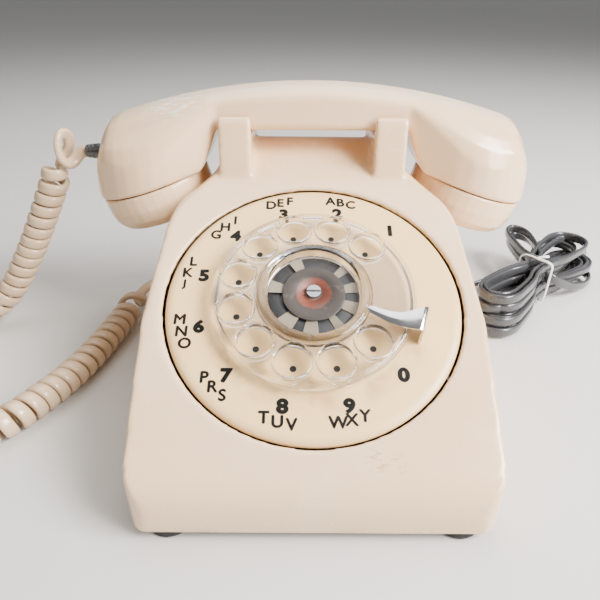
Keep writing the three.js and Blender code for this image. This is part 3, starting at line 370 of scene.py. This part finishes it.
def make_looks():
    return {
        "housing": housing_look(),
        "handset": handset_look(),
        "cream_plate": plate_look(),
        "clear_plastic": clear_look("clear_acrylic", (0.88, 0.88, 0.91)),
        "chrome": metal_look("chrome_plate", (0.66, 0.65, 0.66), 0.12, depth=0.00001),
        "steel": metal_look("stamped_steel", (0.45, 0.46, 0.47), 0.38, grain=(6, 1, 1)),
        "brass": metal_look("plain_brass", (0.62, 0.44, 0.18), 0.3),
        "black_plastic": plain_look("black_moulding", (0.025, 0.025, 0.027), 0.5),
        "rubber": plain_look("foot_rubber", (0.02, 0.02, 0.02), 0.8, bump=0.0001),
        "grey_vinyl": plain_look(
            "grey_cord_vinyl", (0.048, 0.048, 0.052), 0.24, shade=0.7, coat=0.5, scale=60),
        "white_plastic": plain_look("white_nylon", (0.78, 0.77, 0.73), 0.4, shade=0.85),
        "ivory_vinyl": vinyl_look(),
        "retainer": plain_look("retainer_card", (0.24, 0.20, 0.145), 0.5, shade=0.35, scale=45),
        "centre_orange": centre_look(),
        "copper_coil": plain_look("coil_tape", (0.30, 0.12, 0.05), 0.5),
        "ink": plain_look("black_ink", (0.004, 0.004, 0.004), 0.55, shade=0.5, bump=0.00001),
    }


# ---------------------------------------------------------------- meshes
def add_object(name, vertices, faces, look, smooth=True):
    mesh = bpy.data.meshes.new(name)
    mesh.from_pydata([tuple(vertex) for vertex in vertices], [], faces)
    mesh.validate()
    made = bpy.data.objects.new(name, mesh)
    bpy.context.scene.collection.objects.link(made)
    mesh.materials.append(look)
    if smooth:
        mesh.shade_smooth()
    return made


def apply_modifiers(made):
    bpy.context.view_layer.update()
    graph = bpy.context.evaluated_depsgraph_get()
    mesh = bpy.data.meshes.new_from_object(made.evaluated_get(graph))
    made.modifiers.clear()
    made.data = mesh
    return made


def add_modifier(made, kind, **settings):
    modifier = made.modifiers.new(kind.lower(), kind)
    for key, value in settings.items():
        setattr(modifier, key, value)
    return modifier


def sharpen(made, degrees=35):
    made.data.set_sharp_from_angle(angle=math.radians(degrees))
    return made


def rounded_profile(points, radius, steps=4):
    """An open profile with each inner corner rounded."""
    result = [Vector(points[0])]
    for before, here, after in zip(points, points[1:], points[2:]):
        corner = Vector(here)
        back = Vector(before) - corner
        ahead = Vector(after) - corner
        reach = min(radius, back.length * 0.45, ahead.length * 0.45)
        start = corner + back.normalized() * reach
        end = corner + ahead.normalized() * reach
        for step in range(steps + 1):
            t = step / steps
            result.append(start * (1 - t) ** 2 + corner * 2 * t * (1 - t) + end * t ** 2)
    result.append(Vector(points[-1]))
    return result


def turned(name, profile, look, frame_matrix, segments=128, closed=True):
    """A profile of (radius, z) turned round Z, then placed by the matrix. Closed profiles are rings."""
    vertices = []
    faces = []
    count = len(profile)
    for segment in range(segments):
        angle = 2 * math.pi * segment / segments
        for radius, z in profile:
            vertices.append(frame_matrix @ Vector((radius * math.cos(angle), radius * math.sin(angle), z)))
    for segment in range(segments):
        following = (segment + 1) % segments
        for index in range(count if closed else count - 1):
            after = (index + 1) % count
            corners = (segment * count + index, following * count + index)
            faces.append((corners[0], corners[1], following * count + after, segment * count + after))
    made = add_object(name, vertices, faces, look)
    merge = bmesh.new()
    merge.from_mesh(made.data)
    bmesh.ops.remove_doubles(merge, verts=merge.verts, dist=1e-6)
    bmesh.ops.dissolve_degenerate(merge, edges=merge.edges, dist=1e-7)
    bmesh.ops.recalc_face_normals(merge, faces=merge.faces)
    merge.to_mesh(made.data)
    merge.free()
    return made


def scaled(profile):
    return [Vector((radius, z)) * MM for radius, z in profile]


def softened(name, node, look, voxel, passes, factor=0.5):
    """The CAD node's own shape with its edges rounded, as a moulding has them."""
    made = bpy.data.objects.new(name, NODES[node].data.copy())
    bpy.context.scene.collection.objects.link(made)
    made.data.materials.clear()
    add_modifier(made, "REMESH", mode="VOXEL", voxel_size=voxel, adaptivity=0.0)
    add_modifier(made, "SMOOTH", factor=factor, iterations=passes)
    apply_modifiers(made)
    made.data.materials.clear()
    made.data.materials.append(look)
    made.data.shade_smooth()
    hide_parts(node)
    return made


def subtract(made, cutter):
    modifier = add_modifier(made, "BOOLEAN", operation="DIFFERENCE", solver="MANIFOLD")
    modifier.object = cutter
    apply_modifiers(made)
    bpy.data.objects.remove(cutter)
    return made


def cylinders(name, places, radius, low, high, frame_matrix, segments=48):
    """One cutter object made of several upright cylinders."""
    vertices = []
    faces = []
    for x, y in places:
        first = len(vertices)
        for z in (low, high):
            for segment in range(segments):
                angle = 2 * math.pi * segment / segments
                spot = Vector((x + radius * math.cos(angle), y + radius * math.sin(angle), z))
                vertices.append(frame_matrix @ (spot * MM))
        faces.append(tuple(first + index for index in reversed(range(segments))))
        faces.append(tuple(first + segments + index for index in range(segments)))
        for segment in range(segments):
            following = (segment + 1) % segments
            above = first + segments
            faces.append((first + segment, first + following, above + following, above + segment))
    return add_object(name, vertices, faces, None, smooth=False)


# ---------------------------------------------------------------- routes
def centripetal(points, spacing):
    """Even points along the smooth curve through the given ones, the same curve that the CAD tubes follow."""
    ends = [points[0] * 2 - points[1], *points, points[-1] * 2 - points[-2]]
    dense = []
    for p0, p1, p2, p3 in zip(ends, ends[1:], ends[2:], ends[3:]):
        gaps = [max((b - a).length ** 0.5, 1e-9) for a, b in ((p0, p1), (p1, p2), (p2, p3))]
        start = ((p1 - p0) / gaps[0] - (p2 - p0) / (gaps[0] + gaps[1]) + (p2 - p1) / gaps[1]) * gaps[1]
        end = ((p2 - p1) / gaps[1] - (p3 - p1) / (gaps[1] + gaps[2]) + (p3 - p2) / gaps[2]) * gaps[1]
        for step in range(24):
            t = step / 24
            h1, h2 = 2 * t ** 3 - 3 * t ** 2 + 1, -2 * t ** 3 + 3 * t ** 2
            h3, h4 = t ** 3 - 2 * t ** 2 + t, t ** 3 - t ** 2
            dense.append(p1 * h1 + p2 * h2 + start * h3 + end * h4)
    dense.append(points[-1].copy())
    return evenly(dense, spacing)


def lengths(points):
    run = [0.0]
    for a, b in zip(points, points[1:]):
        run.append(run[-1] + (b - a).length)
    return run


def evenly(points, spacing):
    run = lengths(points)
    count = max(2, round(run[-1] / spacing))
    result = []
    index = 0
    for step in range(count + 1):
        target = run[-1] * step / count
        while index < len(run) - 2 and run[index + 1] < target:
            index += 1
        share = (target - run[index]) / max(run[index + 1] - run[index], 1e-12)
        result.append(points[index].lerp(points[index + 1], min(max(share, 0), 1)))
    return result


def tangents(points):
    result = []
    for index in range(len(points)):
        before = points[max(index - 1, 0)]
        after = points[min(index + 1, len(points) - 1)]
        result.append((after - before).normalized())
    return result


def carried_frames(points, first_side):
    """A side vector carried along the path without twist."""
    along = tangents(points)
    side = (first_side - along[0] * first_side.dot(along[0])).normalized()
    result = []
    for direction in along:
        side = (side - direction * side.dot(direction)).normalized()
        result.append((side.copy(), direction.cross(side)))
    return result


def swept(name, points, frames, half_wide, half_thick, look, sides=12, squareness=1.0):
    """A tube whose section is half_wide along the side vector and half_thick across it."""
    vertices = []
    faces = []
    for point, (side, across) in zip(points, frames):
        for corner in range(sides):
            angle = 2 * math.pi * (corner + 0.5) / sides
            wide = math.copysign(abs(math.cos(angle)) ** squareness, math.cos(angle))
            thick = math.copysign(abs(math.sin(angle)) ** squareness, math.sin(angle))
            vertices.append(point + side * (half_wide * wide) + across * (half_thick * thick))
    for ring in range(len(points) - 1):
        for corner in range(sides):
            following = (corner + 1) % sides
            first, second = ring * sides, (ring + 1) * sides
            faces.append((first + corner, first + following, second + following, second + corner))
    last = (len(points) - 1) * sides
    faces.append(tuple(reversed(range(sides))))
    faces.append(tuple(last + corner for corner in range(sides)))
    return add_object(name, vertices, faces, look)


def guided_frames(points, wanted, first_side):
    """Side vectors carried along the path, and turned towards the wanted (vector, pull) at each point."""
    along = tangents(points)
    side = first_side
    result = []
    for direction, (target, pull) in zip(along, wanted):
        side = (side - direction * side.dot(direction)).normalized()
        flat = target - direction * target.dot(direction)
        if pull > 0 and flat.length > 0.05:
            flat.normalize()
            sign = 1 if flat.dot(side) >= 0 else -1
            side = (side * (1 - pull) + flat * (sign * pull)).normalized()
        result.append((side.copy(), direction.cross(side)))
    return result


def tapered(name, node, start, direction, profile, look, body):
    """A strain relief: a turned, ribbed and tapering piece in place of the plain one."""
    axis = Vector(direction).normalized()
    place = Matrix.Translation(Vector(start) * MM) @ axis.to_track_quat("Z", "Y").to_matrix().to_4x4()
    made = turned(name, scaled(rounded_profile(profile, 0.5, 2)), look, place, 40)
    sharpen(made, 50)
    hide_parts(node)
    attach(made, body)
    return made


# ---------------------------------------------------------------- handset cord
CORD_WIDE = 6.4 * MM
CORD_THICK = 3.5 * MM
COIL_DIAMETER = 15.8 * MM
COIL_PITCH = 7.3 * MM
LEAD_POINTS = mm([
    (-124.1, 57.5, 105.5), (-127.6, 57.2, 104.6), (-130.6, 54.6, 101.0), (-133.2, 51.0, 100.2),
    (-135.4, 49.3, 104.5), (-135.9, 50.0, 110.6), (-135.0, 53.4, 115.2), (-133.7, 58.2, 114.2),
    (-134.6, 61.4, 107.8), (-138.2, 61.0, 102.4),
])
COIL_POINTS = mm([
    (-140.1, 54.4, 97.4), (-145.5, 53.5, 86), (-155.5, 52, 67), (-168.5, 50, 44), (-183.5, 46, 22),
    (-200.5, 37, 9.6), (-221.5, 20, 8.4), (-231.5, -10, 8.4), (-221.5, -42, 8.4),
    (-198, -62, 8.4), (-170, -64, 8.4),
    (-146, -54, 8.4), (-133, -34, 8.4), (-124, -12, 8.4), (-118, 14, 8.4), (-114, 40, 8.6), (-111.5, 60, 9.6),
])
TAIL_POINTS = mm([
    (-110.5, 69, 9.4), (-107, 79, 9.5), (-94, 84, 12), (-85, 84, 13), (-78, 84, 13),
])


def nearest(points, target):
    return min(range(len(points)), key=lambda index: (points[index] - target).length)


def bell(distance, width):
    return math.exp(-((distance / width) ** 2))


def curly_route():
    """The wire's centreline, with the coil's direction and how far it is coiled at each point."""
    centre = centripetal(LEAD_POINTS + COIL_POINTS + TAIL_POINTS, 0.5 * MM)
    run = lengths(centre)
    along = tangents(centre)
    frames = carried_frames(centre, Vector((0, 0, 1)))
    start = run[nearest(centre, COIL_POINTS[0])] - 2 * MM
    end = run[nearest(centre, COIL_POINTS[-1])] + 2 * MM
    ramp = 6 * MM
    radius = (COIL_DIAMETER - CORD_THICK) / 2
    points, axes = [], []
    turn = 2.2
    for index in range(len(centre) - 1):
        place = run[index]
        inside = min(max((place - start) / ramp, 0), 1) * min(max((end - place) / ramp, 0), 1)
        ease = inside * inside * (3 - 2 * inside)
        slack = 1 + 0.7 * bell(place - start, 8 * MM) + 1.3 * bell(place - end, 17 * MM)
        wave = 1 + 0.05 * math.sin(place * 95) + 0.04 * math.sin(place * 41 + 1.3)
        gap = run[index + 1] - place
        rise = 2 * math.pi * gap / (COIL_PITCH * slack * wave)
        steps = max(1, math.ceil(rise / (2 * math.pi / 18))) if ease > 0 else 1
        swell = 1 + 0.12 * bell(place - end, 12 * MM)
        for step in range(steps):
            share = step / steps
            angle = turn + rise * share
            side, across = frames[index]
            offset = side * math.cos(angle) + across * math.sin(angle)
            points.append(centre[index].lerp(centre[index + 1], share) + offset * (radius * ease * swell))
            axes.append((along[index], ease))
        turn += rise
    points.append(centre[-1])
    axes.append((along[-1], 0.0))
    return points, axes


def resample(points, extras, spacing):
    """Even points, each with the extra of the nearest point before it."""
    run = lengths(points)
    count = round(run[-1] / spacing)
    result, kept = [], []
    index = 0
    for step in range(count + 1):
        target = run[-1] * step / count
        while index < len(run) - 2 and run[index + 1] < target:
            index += 1
        share = (target - run[index]) / max(run[index + 1] - run[index], 1e-12)
        result.append(points[index].lerp(points[index + 1], min(max(share, 0), 1)))
        kept.append(extras[index])
    return result, kept


def handset_cord(looks):
    rough, axes = curly_route()
    points, axes = resample(rough, axes, 1.7 * MM)
    frames = guided_frames(points, [(axis, 0.4 * coiled) for axis, coiled in axes], Vector((0, 0.3, 1)))
    vinyl = looks["ivory_vinyl"]
    cord = swept("handset_cord", points, frames, CORD_WIDE / 2, CORD_THICK / 2, vinyl, 12, 0.62)
    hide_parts("handset_cord_lead", "handset_cord_coil", "handset_cord_tail")
    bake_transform(cord)
    at_handset = tapered(
        "handset_strain_relief", "handset_grommet", (-111.6, 57.5, 105.5), (-1, 0, 0),
        [
            (2.0, 0), (4.15, 0), (4.15, 6.4), (3.9, 7.4), (4.1, 8.2), (3.6, 9.4), (3.75, 10.2),
            (3.35, 12.2), (2.0, 12.2),
        ],
        looks["grey_vinyl"], "handset")
    at_housing = tapered(
        "housing_strain_relief", "handset_cord_grommet", (-66.2, 84, 13), (-1, 0, 0),
        [(2.4, 0), (4.5, 0), (4.5, 4.9), (6.1, 5.2), (6.1, 7.6), (4.9, 8.4), (3.9, 11.3), (2.4, 11.4)],
        looks["ivory_vinyl"], "base")


# ---------------------------------------------------------------- line cord
LINE_WIDTH = 6.0 * MM
LINE_THICK = 2.6 * MM
LINE_POINTS = mm([
    (38, 114.2, 13), (38, 122, 13), (44, 132, 6.4), (60, 135, 2.4), (80, 120, 2.2), (90, 99, 2.2),
    (101, 91, 2.6), (114, 91.5, 4), (126, 93, 5.5), (137, 88, 5.5),
])
HANK_PLACE = Vector((151, 80, 0)) * MM
HANK_TURN = Matrix.Rotation(math.radians(43), 3, "Z")
LOWER_PIVOT = Vector((-5.5, 0, 0))
# The cord's rounds through the tie: height, offset at the tie, half width of the lobes,
# reach and direction of the lower lobe, reach and direction of the upper one.
HANK_ROUNDS = (
    (4.6, 2.0, 7.6, 51, 180, 56, 4), (5.0, 4.9, 10.2, 55, 182, 60, 5), (5.6, 8.0, 13.0, 58, 184, 63, 3),
    (11.4, 2.0, 8.0, 49, 186, 52, -6), (11.8, 4.8, 10.6, 54, 185, 58, -5), (12.4, 7.8, 12.8, 57, 183, 62, -4),
    (18.2, 3.0, 8.4, 56, 180, 60, 6), (18.8, 6.4, 11.4, 52, 182, 54, 9), (24.8, 3.6, 8.8, 49, 178, 62, -1),
    (25.4, 7.0, 11.6, 55, 181, 57, 1),
)
BACK_LOBES = ((24.6, 7.4, 54, 47), (17.6, 8.6, 57, 42))
LOBE_STATIONS = (
    (0.08, 0.0, 0.0), (0.30, 0.62, 0.3), (0.55, 0.95, 0.8),
    (0.78, 1.0, 1.0), (0.93, 0.68, 1.0), (1.0, 0.0, 1.0),
)


def hank_spot(spot):
    return HANK_PLACE + HANK_TURN @ (Vector(spot) * MM)


def lobe_points(pivot, degrees, reach, half_width, waist, height, lift):
    """One lobe of the hank: out along one side, round its end and back along the other."""
    along = Vector((math.cos(math.radians(degrees)), math.sin(math.radians(degrees)), 0))
    across = Vector((-along.y, along.x, 0))
    outward = [(out, -(waist + (half_width - waist) * wide), rise) for out, wide, rise in LOBE_STATIONS[:-2]]
    tip = [(0.93, -0.70 * half_width, 1.0), (1.0, 0.0, 1.0), (0.93, 0.70 * half_width, 1.0)]
    back = [(out, -side, rise) for out, side, rise in reversed(outward)]
    spots = []
    for out, side, rise in outward + tip + back:
        raised = Vector((0, 0, height + lift * rise))
        spots.append(hank_spot(pivot + along * (reach * out) + across * side + raised))
    return spots


def line_route():
    points = list(LINE_POINTS)
    for index, (height, waist, half_width, lower, lower_way, upper, upper_way) in enumerate(HANK_ROUNDS):
        sway = 1.2 * math.sin(2.1 * index + 0.6)
        points += lobe_points(LOWER_PIVOT, lower_way, lower, half_width, waist, height, -0.4 + sway * 0.4)
        points += lobe_points(
            Vector((5.5, 0, 0)), upper_way, upper, half_width + 1, waist, height, 0.6 + sway)
    for height, half_width, reach, way in BACK_LOBES:
        points += lobe_points(Vector((8, 1, 0)), way, reach, half_width, 2.4, height, 2.0)
    points += [hank_spot(spot) for spot in (
        (4, -9.6, 19), (20, -18, 10), (40, -21.5, 5.2), (54, -18.5, 5), (61.5, -9, 5.4),
        (64.6, -2.6, 5.5), (68, -0.2, 5.5),
    )]
    return points


def line_cord(looks):
    path = centripetal(line_route(), 1.6 * MM)
    along = tangents(path)
    run = lengths(path)
    upright = Vector((0, 0, 1))
    wanted = []
    for direction, place in zip(along, run):
        flat = direction.cross(upright)
        on_edge = min(max((place - 0.105) / 0.02, 0), 1) * min(max((run[-1] - place - 0.004) / 0.02, 0), 1)
        wanted.append((flat.lerp(upright, on_edge), 0.5))
    frames = guided_frames(path, wanted, Vector((1, 0, 0)))
    cord = swept("line_cord", path, frames, LINE_WIDTH / 2, LINE_THICK / 2, looks["grey_vinyl"], 12, 0.7)
    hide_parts("line_cord_lead", "line_cord_hank")
    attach(cord, "base")
    relief = tapered(
        "line_strain_relief", "line_cord_grommet", (38, 103.6, 13), (0, 1, 0),
        [(2.4, 0), (4.5, 0), (4.5, 4.4), (6.1, 4.7), (6.1, 6.6), (4.9, 7.4), (3.8, 10.3), (2.4, 10.4)],
        looks["grey_vinyl"], "base")
    tie = hank_tie(looks["white_plastic"])


def hank_tie(look):
    """A thin twist tie round the waist of the hank, with its two ends twisted together on top."""
    half, bottom, top, corner = 11.0, 1.0, 30.9, 6.5
    corners = [(0, top), (half, top), (half, bottom), (-half, bottom), (-half, top), (0, top)]
    outline = rounded_profile(corners, corner, 5)
    loop = [hank_spot((0.5 * math.sin(index), spot.x, spot.y)) for index, spot in enumerate(outline)]
    twist = ((1.0, -1.6, 31.7), (2.2, -3.4, 32.4), (4.4, -4.6, 32.2), (7.2, -4.4, 31.4))
    loop += [hank_spot(spot) for spot in twist]
    path = centripetal(loop, 1.0 * MM)
    frames = carried_frames(path, HANK_TURN @ Vector((1, 0, 0)))
    tie = swept("line_cord_tie_twist", path, frames, 0.9 * MM, 0.45 * MM, look, 8, 0.8)
    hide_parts("line_cord_tie")
    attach(tie, "base")
    return tie


# ---------------------------------------------------------------- housing and handset
def make_housing(looks):
    housing = softened("housing_moulding", "housing_shell", looks["housing"], 1.0 * MM, 14)
    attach(housing, "base")


def make_handset(looks):
    shell = softened("handset_moulding", "handset_shell", looks["handset"], 0.8 * MM, 24)
    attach(shell, "handset")
    for node in ("transmitter_cap", "receiver_cap"):
        cap = softened(node + "_moulding", node, looks["handset"], 0.6 * MM, 6)
        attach(cap, "handset")


# ---------------------------------------------------------------- dial
HOLE_ANGLES = [math.radians(45 + 30 * index) for index in range(10)]
HOLE_CIRCLE = 34.6


def ring_places(radius, angles):
    return [(radius * math.cos(angle), radius * math.sin(angle)) for angle in angles]


def make_plate(looks):
    profile = rounded_profile([
        (6, -1.6), (62.7, -1.6), (63.5, -3.6), (65.7, -3.6), (65.7, -1.7), (64.6, -0.5), (62.4, 0), (6, 0),
    ], 1.2, 4)
    plate = turned("number_plate_disc", scaled(profile), looks["cream_plate"], DIAL, 160)
    sharpen(plate)
    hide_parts("number_plate")
    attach(plate, "base")


def text_mesh(text, height, offset):
    """One character as a list of vertices and faces, centred, with the given height in metres."""
    curve = bpy.data.curves.new("glyph", "FONT")
    curve.body = text
    curve.size = 1
    curve.offset = offset
    curve.extrude = 0.012
    curve.resolution_u = 6
    glyph = bpy.data.objects.new("glyph", curve)
    bpy.context.scene.collection.objects.link(glyph)
    bpy.context.view_layer.update()
    mesh = glyph.evaluated_get(bpy.context.evaluated_depsgraph_get()).to_mesh()
    spots = [vertex.co.copy() for vertex in mesh.vertices]
    faces = [tuple(polygon.vertices) for polygon in mesh.polygons]
    bpy.data.objects.remove(glyph)
    low = Vector((min(s.x for s in spots), min(s.y for s in spots)))
    high = Vector((max(s.x for s in spots), max(s.y for s in spots)))
    scale = height / (high.y - low.y)
    middle = (low + high) / 2
    flat = [Vector(((s.x - middle.x) * scale, (s.y - middle.y) * scale, s.z * scale)) for s in spots]
    return flat, faces


def print_characters(name, entries, height, offset, bold, look, wide):
    """Upright characters round the dial, each (character, radius in mm, angle in degrees).

    Bold widens the strokes.
    """
    vertices = []
    faces = []
    for character, radius, degrees in entries:
        spots, polygons = text_mesh(character, height * MM, offset)
        angle = math.radians(degrees)
        for across, along in ((-bold, 0), (bold, 0), (0, -bold), (0, bold)):
            place = Vector((radius * math.cos(angle) + across, radius * math.sin(angle) + along, 0.02)) * MM
            first = len(vertices)
            vertices += [DIAL @ (Vector((spot.x * wide, spot.y, spot.z)) + place) for spot in spots]
            faces += [tuple(first + index for index in polygon) for polygon in polygons]
    made = add_object(name, vertices, faces, look, smooth=False)
    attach(made, "base")


# Each group of letters: radius in mm, angle of its first letter and the step to the next, in degrees.
LETTER_GROUPS = (
    ("ABC", 59.0, 81.2, -5.0), ("DEF", 59.0, 110.4, -4.7), ("GHI", 59.0, 142.0, -6.1),
    ("JKL", 59.0, 172.6, -6.4), ("MNO", 59.0, 190.3, 5.9), ("PRS", 58.4, 220.1, 5.4),
    ("TUV", 57.9, 249.9, 5.6), ("WXY", 57.0, 279.3, 5.5),
)


def make_characters(looks):
    digits = [(str((index + 1) % 10), 51.4, 46.4 + 29.9 * index) for index in range(10)]
    digits[0] = ("1", 54.3, 46.6)
    print_characters("dial_digits", digits, 6.1, 0.030, 0.30, looks["ink"], 1.15)
    letters = []
    for group, radius, first, step in LETTER_GROUPS:
        letters += [(letter, radius, first + step * index) for index, letter in enumerate(group)]
    print_characters("dial_letters", letters, 4.8, 0.0, 0.28, looks["ink"], 1.02)
    places = ring_places(34.9, [angle + 0.01 for angle in HOLE_ANGLES])
    dots = cylinders("dial_dots", places, 1.45, -0.4, 0.07, DIAL, 24)
    dots.data.materials.clear()
    dots.data.materials.append(looks["ink"])
    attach(dots, "base")


def make_wheel(looks):
    profile = rounded_profile([
        (4.2, 1.4), (25, 1.4), (25.2, 4.6), (41.7, 4.6), (43.1, 3.0), (44.7, 3.0), (44.7, 6.1), (43.3, 7.5),
        (26.4, 7.3), (25, 7.4), (24, 8.3), (21.8, 8.3), (20.8, 7.2), (20.6, 3), (4.2, 3),
    ], 0.8, 3)
    wheel = turned("finger_wheel_clear", scaled(profile), looks["clear_plastic"], DIAL, 160)
    for x, y in ring_places(HOLE_CIRCLE, HOLE_ANGLES):
        collar = rounded_profile(
            [(6.6, 3.7), (8.5, 3.7), (8.5, 7.9), (8.2, 8.25), (7.7, 8.25), (6.6, 7.9)], 0.4, 2)
        spot = DIAL @ Matrix.Translation(Vector((x, y, 0)) * MM)
        made = turned("collar", scaled(collar), looks["clear_plastic"], spot, 40)
        modifier = add_modifier(wheel, "BOOLEAN", operation="UNION", solver="MANIFOLD")
        modifier.object = made
        apply_modifiers(wheel)
        bpy.data.objects.remove(made)
    subtract(wheel, cylinders("holes", ring_places(HOLE_CIRCLE, HOLE_ANGLES), 7.4, -2, 12, DIAL, 56))
    wheel.data.materials.clear()
    wheel.data.materials.append(looks["clear_plastic"])
    wheel.data.shade_smooth()
    sharpen(wheel, 32)
    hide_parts("finger_wheel")
    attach(wheel, "dial_wheel")


def make_stop(looks):
    """Plated strip: tip over the hub, flared outer end, leg down to the plate."""
    base = DIAL @ Matrix.Rotation(math.radians(-18), 4, "Z")
    spine = [
        (24.6, 9.3, -2.5, 1.5), (27, 9.4, -2.9, 1.7), (31, 9.5, -3.6, 2.1), (35, 9.6, -4.0, 2.6),
        (39, 9.7, -3.7, 3.3), (42.5, 9.8, -2.6, 4.3), (45.3, 9.8, -1.3, 5.2), (47.3, 9.75, -0.4, 5.7),
        (48.3, 9.4, 0.0, 5.8), (48.75, 8.6, 0.0, 5.6), (48.8, 6.5, -0.9, 5.3),
        (48.8, 3.5, -1.6, 5.2), (48.8, 0.35, -2.0, 5.1),
    ]
    smooth_spine = []
    for index in range(len(spine) - 1):
        for step in range(6):
            share = step / 6
            smooth_spine.append([a + (b - a) * share for a, b in zip(spine[index], spine[index + 1])])
    smooth_spine.append(list(spine[-1]))
    columns = 12
    vertices = []
    faces = []
    for row, (radius, z, middle, half) in enumerate(smooth_spine):
        near_tip = min(row / 5, 1)
        half_here = half * math.sqrt(max(1 - (1 - near_tip) ** 2, 0.02))
        for column in range(columns + 1):
            across = -1 + 2 * column / columns
            crown = 0.25 * (1 - across ** 2)
            y = middle + half_here * across
            vertices.append(base @ (Vector((radius, y, z + crown * (1 if row < 48 else 0))) * MM))
    for row in range(len(smooth_spine) - 1):
        for column in range(columns):
            first = row * (columns + 1) + column
            faces.append((first, first + 1, first + columns + 2, first + columns + 1))
    stop = add_object("finger_stop_strip", vertices, faces, looks["chrome"])
    add_modifier(stop, "SOLIDIFY", thickness=1.05 * MM, offset=0.0)
    add_modifier(
        stop, "BEVEL", width=0.28 * MM, segments=3, limit_method="ANGLE", angle_limit=math.radians(40))
    apply_modifiers(stop)
    stop.data.shade_smooth()
    sharpen(stop, 40)
    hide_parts("finger_stop")
    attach(stop, "base")


def make_hub(looks):
    """What shows through the hub: dark disc, bent tabs round it, faded centre card and its screw."""
    disc = rounded_profile([(4.4, 3.25), (20.2, 3.25), (20.2, 3.5), (4.4, 3.5)], 0.1, 1)
    back = turned("retainer_disc", scaled(disc), looks["black_plastic"], DIAL, 96)
    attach(back, "dial_wheel")
    vertices = []
    faces = []
    spans = ((-30, 17), (4, 15), (38, 12), (106, 18), (158, 20), (218, 24), (256, 20), (298, 12))
    for start, span in spans:
        first = len(vertices)
        steps = 8
        for layer in (0, 1):
            for step in range(steps + 1):
                angle = math.radians(start + span * step / steps)
                tilt = 0.7 * step / steps
                for radius in (11.5, 20.0):
                    height = 3.62 + 0.28 * layer + tilt
                    spot = Vector((radius * math.cos(angle), radius * math.sin(angle), height))
                    vertices.append(DIAL @ (spot * MM))
        width = 2 * (steps + 1)
        for step in range(steps):
            low = first + 2 * step
            high = low + width
            faces.append((low, low + 2, low + 3, low + 1))
            faces.append((high, high + 1, high + 3, high + 2))
            faces.append((low, high, high + 2, low + 2))
            faces.append((low + 1, low + 3, high + 3, high + 1))
        last = first + 2 * steps
        faces.append((first, first + 1, first + width + 1, first + width))
        faces.append((last, last + width, last + width + 1, last + 1))
    tabs = add_object("retainer_tabs", vertices, faces, looks["retainer"], smooth=False)
    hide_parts("card_retainer")
    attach(tabs, "dial_wheel")
    outline = rounded_profile([(2.4, 4.75), (13.6, 4.75), (13.9, 4.9), (13.6, 5.15), (2.4, 5.2)], 0.15, 2)
    card = turned("centre_card_disc", scaled(outline), looks["centre_orange"], DIAL, 96)
    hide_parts("centre_disc")
    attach(card, "dial_wheel")


# ---------------------------------------------------------------- CAD nodes that stay
def dress_nodes(looks):
    by_slot = dict(looks)
    by_slot["ivory_plastic"] = looks["housing"]
    for name, node in NODES.items():
        look = by_slot[SLOT_OF[name]]
        node.data.materials.clear()
        node.data.materials.append(look)
        for slot in node.material_slots:
            slot.link = "OBJECT"
            slot.material = look


make_camera()
make_lights()
make_floor()
looks = make_looks()
dress_nodes(looks)
handset_cord(looks)
line_cord(looks)
make_housing(looks)
make_handset(looks)
make_plate(looks)
make_characters(looks)
make_wheel(looks)
make_stop(looks)
make_hub(looks)
